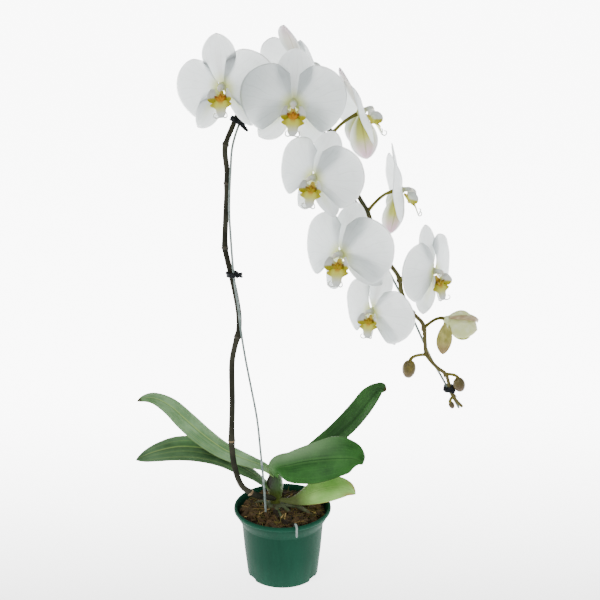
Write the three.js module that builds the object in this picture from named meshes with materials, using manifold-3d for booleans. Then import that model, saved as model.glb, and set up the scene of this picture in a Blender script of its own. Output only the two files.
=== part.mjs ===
// A potted moth orchid: a tied, arching flower spike with nine open blooms, one half-open bloom and three
// buds, five leaves on a short stem, aerial roots, bark in a green nursery pot, and the wire that carries
// the spike. Units are millimetres, +Z is up, the front is -Y, and the origin is the centre of the pot's
// underside. Every piece is a closed solid; pieces that touch keep a gap of FIT.
import * as THREE from "three";
import { mergeVertices } from "three/addons/utils/BufferGeometryUtils.js";
import Module from "manifold-3d";

const wasm = await Module();
wasm.setup();

// ---------------------------------------------------------------- driving dimensions

const FIT = 0.35;

const POT = { height: 88, rimRadius: 57.5, baseRadius: 42, wall: 1.6, bandBottom: 69.5, bandRadius: 49.2 };
const POT_SIDES = 30;
const DRAIN = { count: 3, width: 15, height: 4, reach: 9 };

const BARK = { top: 82, mound: 4, bumps: 1.5, sides: 20, chips: 5, chip: [15, 7, 5] };
const CROWN = { foot: [-8, 1, 74], head: [-9, 1, 133], radii: [7, 6.2, 7, 9.5, 9.5, 5.5], flat: 0.8 };

const SPIKE = { footRadius: 3.3, headRadius: 2.5, tipRadius: 1.5, sides: 5 };
const PEDICEL = { radius: 1.6, sides: 4, steps: 4 };
const WIRE = { radius: 1.1, sides: 5 };

// A petal's edge as it lies flat, from its lower margin out and up to its inner margin: out from the
// bloom's middle, and up.
const PETAL_EDGE = [
  [20, -19], [31, -30], [44.5, -22], [53.5, -6], [55, 11], [48.5, 26], [35.5, 36], [19, 39], [5, 30],
];
const PETAL = { claw: [1.5, 2.6], thick: 0.85, bow: 2.4, swing: -16 };

// The sepals: length, half-width, how far they swing back (degrees), and how far behind the bloom's middle
// they start. The side sepals' angles and turns are each bloom's own.
const DORSAL = { length: 56, halfWidth: 18.5, back: 6, sunk: 1.8 };
const LATERAL = { length: 52, halfWidth: 16.5, back: 9, sunk: 3.4 };
const HUB = { radius: 4.8, back: 6 };
const COLUMN = { radius: 2.9, length: 10, droop: 0.2 };

// The lip's middle line, from its neck over the callus to its tip: up, forward, half-width, half-depth.
const LIP_LINE = [
  [-4.6, 3.6, 2, 1.2], [-9.5, 8, 3.8, 2.6], [-13.5, 10.5, 5.5, 2], [-17.3, 14.6, 12, 1.2], [-21.5, 16.4, 6, 1],
  [-26.6, 18, 5, 0.9], [-30.6, 19.2, 2.2, 0.6],
];
// One side lobe's margin: out, up, forward. It stands upright beside the column.
const LOBE_EDGE = [[5.5, -1.5, 8], [9.6, -0.8, 14.2], [12.4, -6, 18.6], [11.8, -13.2, 17.4], [6.2, -16.6, 11.4]];
const LOBE_FOOT = [[2.2, -8, 6.8], [2, -12.5, 8.6]];
const TENDRIL = [[1.2, -29.4, 18.6], [4.4, -30.6, 20], [7, -29, 22], [7, -26, 22.4], [5.8, -25, 20.4]];
const LIP_THICK = { lobe: 0.9, tendril: 0.75 };

// The spike's route, from the foot of the leaves, up its wire, over the arch and down to its tip.
const SPIKE_ROUTE = [
  [-10, -3, 99], [-27, -14, 107], [-37, -18, 114], [-46, -21, 123], [-52, -23, 138],
  [-56, -24, 158], [-57.5, -25, 184], [-56, -25, 232], [-55.5, -25, 281], [-52, -25, 300],
  [-47.5, -25, 318], [-47, -25, 336], [-49.5, -25, 356], [-54, -25, 380], [-59, -25, 403],
  [-61, -25, 415], [-60, -24, 443], [-58, -23, 477], [-57.5, -22, 500], [-59.5, -20, 522],
  [-57.5, -19, 532], [-52, -17, 545], [-46, -14, 558], [-37, -11, 572], [-23, -8, 582],
  [-3, -7, 584], [19, -9, 574], [42, -12, 555], [62, -15, 527], [74, -18, 498],
  [83, -20, 473], [92.5, -21, 457], [97, -21, 446], [106, -22, 419], [119, -24, 396],
  [129, -24, 381], [133, -25, 363], [142, -26, 343], [157, -27, 327], [160, -28, 305],
  [162, -28, 291], [173, -29, 277], [184, -30, 268], [189, -30, 253], [195, -31, 239],
  [203, -32, 230],
].map((p) => new THREE.Vector3(...p));

// The wire stands in the bark behind the front rim, and its clip end comes out there and hooks over it.
const WIRE_ROUTE = [
  [17, -57.2, 77.6], [17, -57, 83], [17, -56.9, 87.6], [16.2, -54.4, 90.8], [15.2, -50.8, 90],
  [14.5, -48.3, 85], [12, -43, 74], [5, -35, 66], [-6, -26, 63], [-15, -20, 67], [-19, -18.5, 76],
  [-19.5, -19, 92], [-21.5, -21, 128], [-24.7, -23.5, 170], [-28.2, -25, 211], [-35, -27.5, 254],
  [-41, -29, 291], [-45, -29.9, 322], [-47, -30, 346], [-50.5, -30, 372], [-53, -29.8, 402],
  [-54.5, -29.3, 430], [-55.5, -28.3, 453], [-55, -27.3, 476], [-53.4, -26, 503], [-51.6, -23, 525],
  [-46.5, -17, 543], [-40.5, -12.5, 556], [-32, -8.5, 568], [-21, -5.5, 575.5], [-3, -4, 578],
  [17, -5.5, 569], [38.5, -7, 550], [57, -9.5, 523], [70, -12.5, 495], [79, -14.8, 469],
  [90, -15.6, 449], [100, -16.4, 424], [115, -18.2, 392], [131, -19.6, 362], [143, -20.6, 338],
  [156, -21.9, 310], [168, -23.3, 284], [181, -24.6, 261], [192.5, -26, 240], [200.5, -27, 226],
].map((p) => new THREE.Vector3(...p));

// Places along the spike's route, by index, where a node ring or a dry bract sits.
const SPIKE_RINGS = [2, 6, 9.6, 15, 17.4, 19.6];

// Each bloom's centre, the way it faces (degrees: azimuth 0 to the front and 90 to the right, elevation
// above the horizon), its lean to the right, its size, how far its left and right petal swing forward of the
// usual and hang below it, how far its top, left and right sepals swing back of it, the side sepals' angles
// from the top and the turn of their outer margins, how its lip nods, turns and rolls against the tepals
// (all in degrees), and the place along the spike's route that its pedicel leaves.
const BLOOMS = [
  { name: "bloom_1", centre: [-60, -43, 595], faces: [-10, 4], lean: -7, size: 0.98, swing: [-7, 0],
    droop: [18, 6], flare: [-6, -12, -6], spread: [142, 149], twist: [32, 82], lip: [0, 0, 0], from: 22.4 },
  { name: "bloom_2", centre: [14, -66, 582], faces: [1, 3], lean: 3, size: 1.0, swing: [0, 0],
    droop: [0, 0], flare: [2, 2, 2], spread: [138, 141], twist: [32, 32], lip: [0, 0, 0], from: 24.2 },
  { name: "bloom_3", centre: [21, 12, 608], faces: [128, 20], lean: -6, size: 0.93, swing: [0, 0],
    droop: [0, 17], flare: [2, 2, 2], spread: [143, 143], twist: [32, 32], lip: [0, 0, 0], from: 24.9 },
  { name: "bloom_4", centre: [87, -14, 563], faces: [106, 22], lean: 2, size: 0.96, swing: [0, 0],
    droop: [0, 0], flare: [-2, 8, 5], spread: [160, 147], twist: [-62, 32], lip: [14, 0, 0], from: 27.6 },
  { name: "bloom_5", centre: [35, -93, 511], faces: [-31, 8], lean: 14, size: 0.92, swing: [0, 0],
    droop: [4, -11], flare: [9, 12, 16], spread: [155, 148], twist: [20, -15], lip: [0, 18, 14], from: 28.4 },
  { name: "bloom_6", centre: [129, -26, 480], faces: [90, 8], lean: 0, size: 0.94, swing: [6, 3],
    droop: [0, 0], flare: [-4, 8, 0], spread: [147, 145], twist: [-52, 32], lip: [5, 0, 0], from: 31.2 },
  { name: "bloom_7", centre: [63.5, -78, 424.5], faces: [-35, 9], lean: 5, size: 1.02, swing: [0, 0],
    droop: [2, -11], flare: [7, 12, 16], spread: [152, 122], twist: [20, -15], lip: [0, 18, 11], from: 33.3 },
  { name: "bloom_8", centre: [165, -46, 395], faces: [55, 6], lean: 0, size: 0.92, swing: [7, 7],
    droop: [0, 0], flare: [0, -4, 0], spread: [160, 145], twist: [14, 32], lip: [5, -22, 0], from: 35.2 },
  { name: "bloom_9", centre: [98, -70, 358], faces: [-42, 8], lean: 5, size: 0.86, swing: [0, 0],
    droop: [12, 13], flare: [4, 12, 14], spread: [152, 146], twist: [20, -20], lip: [0, 18, 12], from: 37.2 },
];

const HALF_OPEN = { centre: [186, -30, 332], faces: [96, -24], lean: 8, length: 35, halfWidth: 15, from: 38.2 };

// Each bud's place, the way its tip points, its length and width, and where its pedicel leaves the spike.
const BUDS = [
  { name: "bud_1", centre: [142.5, -32, 275], tip: [-0.12, -0.1, -1], length: 21, width: 15, from: 40 },
  { name: "bud_2", centre: [199.5, -33, 256.5], tip: [0.25, -0.1, -1], length: 17, width: 13.5, from: 42 },
  { name: "bud_3", centre: [191.5, -35, 232.5], tip: [0.45, -0.1, -1], length: 9, width: 6.5, from: 43.8 },
];

// Each leaf's midrib, its half-width along it, the way its face looks at base and tip, and how far its two
// halves fold up from the midrib (degrees). Where its near half is wider or narrower, that half has its own row.
const LEAVES = [
  {
    name: "leaf_left_upper",
    midrib: [[-9, 1, 127], [-20, 2, 136], [-34, 4, 141], [-50, 7, 146], [-70, 10, 155], [-92, 14, 170],
      [-113, 18, 188], [-132, 20, 206], [-149, 19, 216], [-160, 16, 218], [-169, 13, 216]],
    width: [7, 9, 12, 15, 17, 18.5, 18.5, 16, 11, 6, 1.2], faces: [[0.3, -0.1, 1], [0.35, -0.35, 1]], fold: 14,
    colour: 0x6f9a66,
  },
  {
    name: "leaf_left_lower",
    midrib: [[-9, 1, 107], [-22, 2, 117], [-34, 4, 126], [-50, 6, 136], [-70, 8, 148], [-96, 8, 157],
      [-122, 5, 160], [-145, 1, 157], [-160, -2, 153], [-171, -4, 149]],
    width: [6, 8, 10, 14, 18, 21, 20, 15, 9, 1.2], faces: [[0.5, -0.1, 1], [-0.15, -0.5, 1]], fold: 10,
    colour: 0x3f6b35,
  },
  {
    name: "leaf_right_back",
    midrib: [[-6, 6, 122], [10, 16, 129], [28, 25, 136], [48, 35, 146], [67, 43, 158], [84, 50, 172],
      [97, 55, 186], [107, 59, 199], [114, 61, 207], [119, 61, 211], [124, 59, 210]],
    width: [5, 9, 13.5, 16.5, 18.5, 19.5, 19, 17.5, 13, 8, 1.6], faces: [[-0.6, -0.4, 1], [-0.6, -0.4, 0.7]], fold: 28,
    colour: 0x3a6a2c,
  },
  {
    name: "leaf_right_front",
    midrib: [[-9.5, -7.2, 129.5], [-6, -9.5, 140.5], [8, -15, 147.5], [22, -19, 153], [38, -24, 158], [55, -29, 162],
      [70, -33, 164.5], [82, -35, 165], [89, -37, 163], [92.5, -38, 160]],
    width: [4.5, 16.5, 18, 20.5, 24.6, 28.6, 27.6, 20.5, 11.5, 1.4],
    near: [4.5, 8, 20.8, 25.4, 27.4, 24.4, 19.2, 13.6, 5, 1.4],
    faces: [[-0.2, -0.7, 0.9], [0.1, -0.9, 0.75]], fold: 6,
    colour: 0x37702f,
  },
  {
    name: "leaf_small",
    midrib: [[-5, -2, 97], [9, -9, 98.5], [22, -13, 104], [36, -18, 113.5], [52, -24, 122], [66, -29, 126],
      [77, -32, 125], [85, -34, 120]],
    width: [2, 4, 9, 14, 15.5, 13.5, 9, 1.4], faces: [[-0.3, -0.9, 0.9], [0.1, -0.8, 0.8]], fold: 6,
    colour: 0x8fae5a,
  },
];
const LEAF = { edge: 1.3, rib: 2.6, across: 4 };

// Aerial roots, each a hand-laid route over the bark.
const ROOTS = [
  [[-4, -6, 88], [4, -13, 90], [10, -22, 87], [13, -29, 80], [14, -34, 72]],
  [[-2, -4, 89], [9, -9, 92], [20, -12, 91], [32, -18, 86], [38, -22, 77]],
  [[-8, -7, 88], [-6, -15, 89], [-2, -26, 87], [1, -35, 82], [2, -40, 73]],
  [[0, 1, 88], [11, 5, 90], [23, 6, 88], [33, 3, 80]],
  [[-14, 4, 87], [-24, 9, 88], [-34, 9, 84], [-39, 7, 76]],
].map((route) => route.map((p) => new THREE.Vector3(...p)));
const ROOT = { radius: 2.5, sides: 5, steps: 5 };

// Wound ties that hold the spike to its wire, by place along the spike's route, each with the twisted
// ends of its cord as knots.
const TIES = [
  { name: "tie_middle", at: 13.2, knots: [[7, -3, 1]] },
  { name: "tie_top", at: 21.7, knots: [[6.8, -4, -3.8]] },
  { name: "tie_tip", at: 43.2, knots: [[-4.5, -3.5, 0], [3.6, -4, -1]] },
];
const TIE = { turns: 2, perTurn: 6, cord: 1.1, pitch: 2.7, knot: 3.3, gap: 1.2 };

const COLOURS = {
  pot: 0x1f5f49, bark: 0x5a4433, crown: 0x38502a, root: 0x8b9a80, spike: 0x3d3f30, wire: 0x9aa3a6,
  tie: 0x20262a, tepal: 0xe9edee, lip: 0xe0c23a, bud: 0x86804a, halfOpen: 0xc3cfa4,
};

// ---------------------------------------------------------------- solids

/** A repeatable random number generator. */
function random(seed) {
  let state = seed;
  return () => {
    state = (state * 1664525 + 1013904223) % 4294967296;
    return state / 4294967296;
  };
}

/** A geometry's solid, turned to face outwards. */
function solid(geometry) {
  const bare = new THREE.BufferGeometry();
  bare.setAttribute("position", geometry.getAttribute("position"));
  if (geometry.index) bare.setIndex(geometry.index);
  const merged = mergeVertices(bare, 1e-4);
  const corner = (i) => new THREE.Vector3().fromBufferAttribute(merged.attributes.position, merged.index.array[i]);
  let volume = 0;
  for (let i = 0; i < merged.index.count; i += 3) volume += corner(i).dot(corner(i + 1).cross(corner(i + 2)));
  const triVerts = new Uint32Array(merged.index.array);
  if (volume < 0) triVerts.reverse();
  const vertProperties = merged.attributes.position.array;
  return new wasm.Manifold(new wasm.Mesh({ numProp: 3, vertProperties, triVerts }));
}

/** A closed geometry from rings of points, one after another, each end filled round its middle. */
function loft(rings) {
  const sides = rings[0].length;
  const points = rings.flat();
  const index = [];
  const middleOf = (ring) => ring.reduce((sum, p) => sum.add(p), new THREE.Vector3()).divideScalar(sides);
  for (let i = 0; i + 1 < rings.length; i++)
    for (let j = 0; j < sides; j++) {
      const [a, b] = [i * sides + j, i * sides + ((j + 1) % sides)];
      index.push(a, b, b + sides, a, b + sides, a + sides);
    }
  const last = (rings.length - 1) * sides;
  for (let j = 0; j < sides; j++) {
    const k = (j + 1) % sides;
    index.push(points.length, k, j);
    index.push(points.length + 1, last + j, last + k);
  }
  points.push(middleOf(rings[0]), middleOf(rings.at(-1)));
  return new THREE.BufferGeometry().setFromPoints(points).setIndex(index);
}

/** A round rod through points, its radius a function of the share of the way, longer and thicker by extra. */
function rod(points, radiusAt, sides, extra = 0) {
  const last = points.length - 1;
  const normal = new THREE.Vector3(0.31, 0.95, 0.05);
  const rings = points.map((point, i) => {
    const along = points[Math.min(i + 1, last)].clone().sub(points[Math.max(i - 1, 0)]).normalize();
    normal.addScaledVector(along, -normal.dot(along)).normalize();
    const binormal = along.clone().cross(normal);
    const radius = radiusAt(i / last) + extra;
    const middle = point.clone().addScaledVector(along, i === 0 ? -extra : i === last ? extra : 0);
    return Array.from({ length: sides }, (_, j) => {
      const turn = (2 * Math.PI * j) / sides;
      return middle.clone()
        .addScaledVector(normal, radius * Math.cos(turn))
        .addScaledVector(binormal, radius * Math.sin(turn));
    });
  });
  return loft(rings);
}

/** Points on a smooth curve through a route. */
const smooth = (route, steps) => new THREE.CatmullRomCurve3(route, false, "centripetal").getPoints(steps);

/** A thin blade from rows of points on its middle, with a thickness for each place, closed all round. */
function blade(rows, thickAt) {
  const [m, n] = [rows.length, rows[0].length];
  const front = [];
  const back = [];
  rows.forEach((row, i) =>
    row.forEach((point, j) => {
      const along = rows[Math.min(i + 1, m - 1)][j].clone().sub(rows[Math.max(i - 1, 0)][j]);
      const across = row[Math.min(j + 1, n - 1)].clone().sub(row[Math.max(j - 1, 0)]);
      const half = across.cross(along).setLength(thickAt(i / (m - 1), (2 * j) / (n - 1) - 1) / 2);
      front.push(point.clone().add(half));
      back.push(point.clone().sub(half));
    }),
  );
  const index = [];
  const under = m * n;
  const quad = (a, b, c, d) => index.push(a, b, c, a, c, d);
  for (let i = 0; i + 1 < m; i++)
    for (let j = 0; j + 1 < n; j++) {
      const [a, b, c, d] = [i * n + j, i * n + j + 1, (i + 1) * n + j + 1, (i + 1) * n + j];
      quad(a, b, c, d);
      index.push(under + a, under + c, under + b, under + a, under + d, under + c);
    }
  const rim = [];
  for (let j = 0; j < n - 1; j++) rim.push(j);
  for (let i = 0; i < m - 1; i++) rim.push(i * n + n - 1);
  for (let j = n - 1; j > 0; j--) rim.push((m - 1) * n + j);
  for (let i = m - 1; i > 0; i--) rim.push(i * n);
  rim.forEach((p, k) => {
    const q = rim[(k + 1) % rim.length];
    quad(q, p, under + p, under + q);
  });
  return new THREE.BufferGeometry().setFromPoints([...front, ...back]).setIndex(index);
}

/** An ellipsoid's geometry. */
function ellipsoid(radii, middle, wide = 8, high = 6) {
  return new THREE.SphereGeometry(1, wide, high).scale(...radii).translate(...middle);
}

/** Several geometries or solids joined into one solid. */
const joined = (...parts) =>
  parts.map((p) => (p.isBufferGeometry ? solid(p) : p)).reduce((sum, next) => sum.add(next));

/** A named mesh of a solid or a geometry in its own colour. */
function mesh(name, shape, colour, roughness = 0.6, metalness = 0) {
  let geometry = shape;
  if (!shape.isBufferGeometry) {
    const { vertProperties, triVerts } = shape.getMesh();
    geometry = new THREE.BufferGeometry()
      .setAttribute("position", new THREE.BufferAttribute(Float32Array.from(vertProperties), 3))
      .setIndex(new THREE.BufferAttribute(Uint32Array.from(triVerts), 1));
  }
  geometry.computeVertexNormals();
  const made = new THREE.Mesh(geometry, new THREE.MeshStandardMaterial({ color: colour, roughness, metalness }));
  made.name = name;
  return made;
}

const degrees = THREE.MathUtils.degToRad;
const mix = THREE.MathUtils.lerp;

/** A value read from a list of evenly spaced values, at a share of its length. */
function sample(values, share) {
  const place = share * (values.length - 1);
  const low = Math.min(Math.floor(place), values.length - 2);
  return mix(values[low], values[low + 1], place - low);
}

// ---------------------------------------------------------------- the pot and its bark

/** The pot: a tapered wall, a flared band under a rolled rim, and drain slots round its foot. */
function pot() {
  const { height, rimRadius, baseRadius, wall, bandBottom, bandRadius } = POT;
  const outer = [
    [0, 0], [baseRadius - 2, 0], [baseRadius, 2], [bandRadius - 0.9, bandBottom - 1], [bandRadius, bandBottom],
    [bandRadius + 2.6, bandBottom + 5], [rimRadius - 2.8, height - 8], [rimRadius - 0.6, height - 4.5],
    [rimRadius, height - 2], [rimRadius - 1.2, height],
  ];
  const inner = [
    [rimRadius - 3, height - 0.6], [rimRadius - 4.6, height - 8], [bandRadius - 0.2, bandBottom + 4],
    [bandRadius - wall - 1, bandBottom - 2], [baseRadius - wall, 4], [baseRadius - wall - 2, wall], [0, wall],
  ];
  const profile = [...outer, ...inner].map(([r, z]) => new THREE.Vector2(r, z));
  // LatheGeometry turns its profile round Y, so the pot is stood up on Z.
  let shape = solid(new THREE.LatheGeometry(profile, POT_SIDES).rotateX(Math.PI / 2));
  for (let k = 0; k < DRAIN.count; k++) {
    const slot = new THREE.BoxGeometry(DRAIN.width, 2 * DRAIN.reach, 2 * DRAIN.height);
    slot.translate(0, -baseRadius, 0).rotateZ(degrees(60 + (360 / DRAIN.count) * k));
    shape = shape.subtract(solid(slot));
  }
  return shape;
}

/** The pot's inside radius at a height, less the gap that the bark keeps. */
function barkRadius(z) {
  const { height, rimRadius, baseRadius, wall, bandBottom, bandRadius } = POT;
  const wallTop = [bandRadius - wall - 1, bandBottom - 2];
  const bandIn = [bandRadius - 0.2, bandBottom + 4];
  const rimIn = [rimRadius - 4.6, height - 8];
  const [low, high] = z < wallTop[1] ? [[baseRadius - wall, 4], wallTop] : z < bandIn[1] ? [wallTop, bandIn]
    : [bandIn, rimIn];
  return mix(low[0], high[0], (z - low[1]) / (high[1] - low[1])) - 2 * FIT;
}

/** The bark filling: it fits the pot, its top is lumpy and mounds towards the front, and chips stand out. */
function bark() {
  const draw = random(11);
  const { sides } = BARK;
  const ringAt = (radius, z) =>
    Array.from({ length: sides }, (_, j) => {
      const turn = (2 * Math.PI * j) / sides;
      return new THREE.Vector3(radius * Math.cos(turn), radius * Math.sin(turn), z);
    });
  const wallRings = [4.5, POT.bandBottom - 2, POT.bandBottom + 4, 78].map((z) => ringAt(barkRadius(z), z));
  const topRings = [0.9, 0.72, 0.52, 0.3].map((share) =>
    ringAt(share * barkRadius(78), BARK.top).map((p) => {
      const mound = BARK.mound * (1 - share * share) - (1.5 * p.y * share) / 50;
      return p.add(new THREE.Vector3(0, 0, mound + (2 * draw() - 1) * BARK.bumps));
    }),
  );
  const body = solid(loft([ringAt(barkRadius(4.5) * 0.5, 2.2 * FIT + POT.wall), ...wallRings, ...topRings]));
  const chips = Array.from({ length: BARK.chips }, (_, k) => {
    const [length, width, thick] = BARK.chip.map((size) => size * (0.7 + 0.5 * draw()));
    const turn = k * degrees(137.5);
    const reach = 12 + 25 * Math.sqrt((k + 0.5) / BARK.chips);
    const chip = new THREE.BoxGeometry(length, width, thick);
    chip.rotateY(degrees(50 * (draw() - 0.5))).rotateX(degrees(50 * (draw() - 0.5))).rotateZ(6.3 * draw());
    return chip.translate(reach * Math.cos(turn), reach * Math.sin(turn), BARK.top + 2.4);
  });
  return joined(body, ...chips);
}

// ---------------------------------------------------------------- leaves, stem and roots

/** The short leafy stem that the leaves clasp: narrow at its foot, wide and flattened at its head. */
function crown(extra = 0) {
  const [foot, head] = [CROWN.foot, CROWN.head].map((p) => new THREE.Vector3(...p));
  const [x, y] = CROWN.foot;
  const levels = CROWN.radii.map((_, i) => foot.clone().lerp(head, i / (CROWN.radii.length - 1)));
  const shape = rod(levels, (share) => sample(CROWN.radii, share), 10, extra / CROWN.flat);
  return shape.translate(-x, -y, 0).scale(1, CROWN.flat, 1).translate(x, y, 0);
}

/** One leaf: a thick blade, folded along its midrib, whose edge narrows to the tip. */
function leaf({ midrib, width, near = width, faces, fold }) {
  const line = midrib.map((p) => new THREE.Vector3(...p));
  const [baseFace, tipFace] = faces.map((f) => new THREE.Vector3(...f).normalize());
  const last = midrib.length - 1;
  const rows = line.map((middle, i) => {
    const share = i / last;
    const along = line[Math.min(i + 1, last)].clone().sub(line[Math.max(i - 1, 0)]).normalize();
    const face = baseFace.clone().lerp(tipFace, share);
    const side = along.clone().cross(face).normalize();
    const up = side.clone().cross(along).normalize();
    return Array.from({ length: LEAF.across + 1 }, (_, j) => {
      const v = (2 * j) / LEAF.across - 1;
      const half = v > 0 ? near[i] : width[i];
      const rise = Math.abs(v) * half * Math.tan(degrees(fold)) - 0.22 * half * v * v;
      return middle.clone().addScaledVector(side, v * half).addScaledVector(up, rise);
    });
  });
  return blade(rows, (share, v) => mix(LEAF.rib, LEAF.edge, Math.abs(v)) * (share > 0.99 ? 0.6 : 1));
}

/** The aerial roots, joined by the collar that they grow from under the crown. */
function roots(extra = 0) {
  const taper = (share) => ROOT.radius * (1 - 0.25 * share);
  const [x, y] = CROWN.foot;
  const collar = new THREE.CylinderGeometry(11.5 + extra, 12.5 + extra, 5 + 2 * extra, 9);
  collar.rotateX(Math.PI / 2).translate(x, y, 87.5);
  return joined(collar, ...ROOTS.map((route) => rod(smooth(route, ROOT.steps), taper, ROOT.sides, extra)));
}

// ---------------------------------------------------------------- the spike and its wire

/** The point at a place along the spike's route, counted in route points. */
function onSpike(place) {
  const low = Math.min(Math.floor(place), SPIKE_ROUTE.length - 2);
  return SPIKE_ROUTE[low].clone().lerp(SPIKE_ROUTE[low + 1], place - low);
}

/** The spike's radius at a share of its length. */
function spikeRadius(share) {
  const { footRadius, headRadius, tipRadius } = SPIKE;
  return share < 0.6 ? mix(footRadius, headRadius, share / 0.6) : mix(headRadius, tipRadius, (share - 0.6) / 0.4);
}

/** The spike's own stem, without pedicels, thicker by a clearance where it cuts another piece. */
const spikeStem = (extra = 0) => rod(SPIKE_ROUTE, spikeRadius, SPIKE.sides, extra);

/** A pedicel from the spike to a flower's back, which it meets along the way that the flower faces. */
function pedicel(from, to, facing) {
  const start = onSpike(from);
  const reach = start.distanceTo(to);
  const curve = new THREE.CubicBezierCurve3(
    start,
    start.clone().lerp(to, 0.3).add(new THREE.Vector3(0, 0, 0.1 * reach)),
    to.clone().addScaledVector(facing, -0.35 * reach),
    to,
  );
  const radiusAt = (share) => mix(PEDICEL.radius * 1.15, PEDICEL.radius, share);
  return rod(curve.getPoints(PEDICEL.steps), radiusAt, PEDICEL.sides);
}

/** A short ring round the spike: a node, or the foot of a dry bract. */
function nodeRing(place) {
  const middle = onSpike(place);
  const along = onSpike(place + 0.2).sub(onSpike(place - 0.2)).normalize();
  const radius = spikeRadius(place / SPIKE_ROUTE.length) + 0.7;
  const ring = new THREE.CylinderGeometry(radius * 0.92, radius, 5, SPIKE.sides);
  ring.applyQuaternion(new THREE.Quaternion().setFromUnitVectors(new THREE.Vector3(0, 1, 0), along));
  return ring.translate(...middle.toArray());
}

/** The wire, thicker by a clearance where it cuts another piece. */
const wire = (extra = 0) => rod(WIRE_ROUTE, () => WIRE.radius, WIRE.sides, extra);

/** A wound tie round the spike and its wire, with the twisted ends of its cord as knots. */
function tie({ at, knots }) {
  const middle = onSpike(at);
  const along = onSpike(at + 0.25).sub(onSpike(at - 0.25)).normalize();
  const near = smooth(WIRE_ROUTE, 400).reduce((best, p) =>
    p.distanceTo(middle) < best.distanceTo(middle) ? p : best);
  const apart = near.clone().sub(middle);
  apart.addScaledVector(along, -apart.dot(along));
  const centre = middle.clone().addScaledVector(apart, 0.5);
  const wide = apart.clone().normalize();
  const across = along.clone().cross(wide);
  const inside = spikeRadius(at / SPIKE_ROUTE.length);
  const { turns, perTurn, cord, pitch, gap } = TIE;
  const winding = [];
  for (let k = 0; k <= turns * perTurn; k++) {
    const turn = (2 * Math.PI * k) / perTurn;
    winding.push(
      centre
        .clone()
        .addScaledVector(wide, (apart.length() / 2 + inside + cord + gap) * Math.cos(turn))
        .addScaledVector(across, (inside + cord + gap) * Math.sin(turn))
        .addScaledVector(along, pitch * (k / perTurn - turns / 2)),
    );
  }
  const coil = rod(winding, () => cord, 4);
  const ends = knots.map((k) =>
    ellipsoid([TIE.knot, TIE.knot * 0.8, TIE.knot], centre.clone().add(new THREE.Vector3(...k)).toArray(), 6, 5));
  return joined(coil, ...ends);
}

// ---------------------------------------------------------------- blooms

/** A petal: a round blade whose rays fan out from a narrow claw. Side is -1 to the left and 1 to the right. */
function petal(side, swing, droop) {
  const [clawOut, clawUp] = PETAL.claw;
  const [across, down] = [Math.cos(degrees(droop)), Math.sin(degrees(droop))];
  const slope = Math.tan(degrees(PETAL.swing + swing));
  const rows = [0, 0.36, 0.7, 1].map((share) =>
    PETAL_EDGE.map(([edgeOut, edgeUp], j) => {
      const v = (2 * j) / (PETAL_EDGE.length - 1) - 1;
      const out = mix(clawOut, edgeOut, share);
      const up = mix(clawUp * v, edgeUp, share);
      const curl = PETAL.bow * Math.sin(Math.PI * share) - 2.2 * share ** 2 + 0.7 * share * Math.sin(4 * v + side);
      return new THREE.Vector3(side * (out * across + up * down), up * across - out * down, 1.6 + curl + out * slope);
    }),
  );
  return blade(rows, () => PETAL.thick);
}

/** A sepal: an oval blade behind the petals. Side is -1, 0 or 1: to the left, at the top, or to the right. */
function sepal(side, { length, halfWidth, back, sunk, angle = 0, twist = 0 }) {
  const [steps, across] = [4, 2];
  const axis = degrees(side * angle);
  const along = new THREE.Vector3(Math.sin(axis), Math.cos(axis), -Math.tan(degrees(back))).normalize();
  const wide = new THREE.Vector3(Math.cos(axis), -Math.sin(axis), 0);
  wide.applyAxisAngle(along, degrees(-side * twist));
  const face = wide.clone().cross(along);
  const rows = [];
  for (let i = 0; i <= steps; i++) {
    const share = 1 - (1 - i / steps) ** 1.3;
    const half = i === 0 ? 3.4 : Math.max(halfWidth * Math.sin(Math.PI * share ** 1.25) ** 0.6, 2.2);
    const row = [];
    for (let j = 0; j <= across; j++) {
      const v = (2 * j) / across - 1;
      const point = new THREE.Vector3(0, 0, -sunk).addScaledVector(along, mix(1.5, length, share));
      point.addScaledVector(wide, v * half);
      row.push(point.addScaledVector(face, -2.4 * v * v * (half / halfWidth) + 1.4 * Math.sin(Math.PI * share)));
    }
    rows.push(row);
  }
  return blade(rows, () => PETAL.thick);
}

/** The bloom's small middle with its column. */
function hub() {
  const middle = ellipsoid([HUB.radius, HUB.radius, HUB.back], [0, 0, -1.5], 6, 4);
  const { radius, length, droop } = COLUMN;
  const column = ellipsoid([radius, radius * 0.9, length / 2 + 2], [0, 0, length / 2], 5, 4).rotateX(droop);
  return joined(middle, column);
}

/** The five white tepals with the column, as one grown piece. */
function tepals({ swing, droop, flare, spread, twist }) {
  const [top, left, right] = flare;
  return joined(
    hub(),
    sepal(0, { ...DORSAL, back: DORSAL.back + top }),
    sepal(-1, { ...LATERAL, back: LATERAL.back + left, angle: spread[0], twist: twist[0] }),
    sepal(1, { ...LATERAL, back: LATERAL.back + right, angle: spread[1], twist: twist[1] }),
    petal(-1, swing[0], droop[0]),
    petal(1, swing[1], droop[1]),
  );
}

/** One of the lip's two upright side lobes. */
function sideLobe(side) {
  const [top, bottom] = LOBE_FOOT.map((p) => new THREE.Vector3(...p));
  const rows = [0, 0.5, 1].map((share) =>
    LOBE_EDGE.map((edge, j) => {
      const point = top.clone().lerp(bottom, j / (LOBE_EDGE.length - 1)).lerp(new THREE.Vector3(...edge), share);
      point.x = side * (point.x + 2 * Math.sin(Math.PI * share));
      return point;
    }),
  );
  return blade(rows, () => LIP_THICK.lobe);
}

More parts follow.
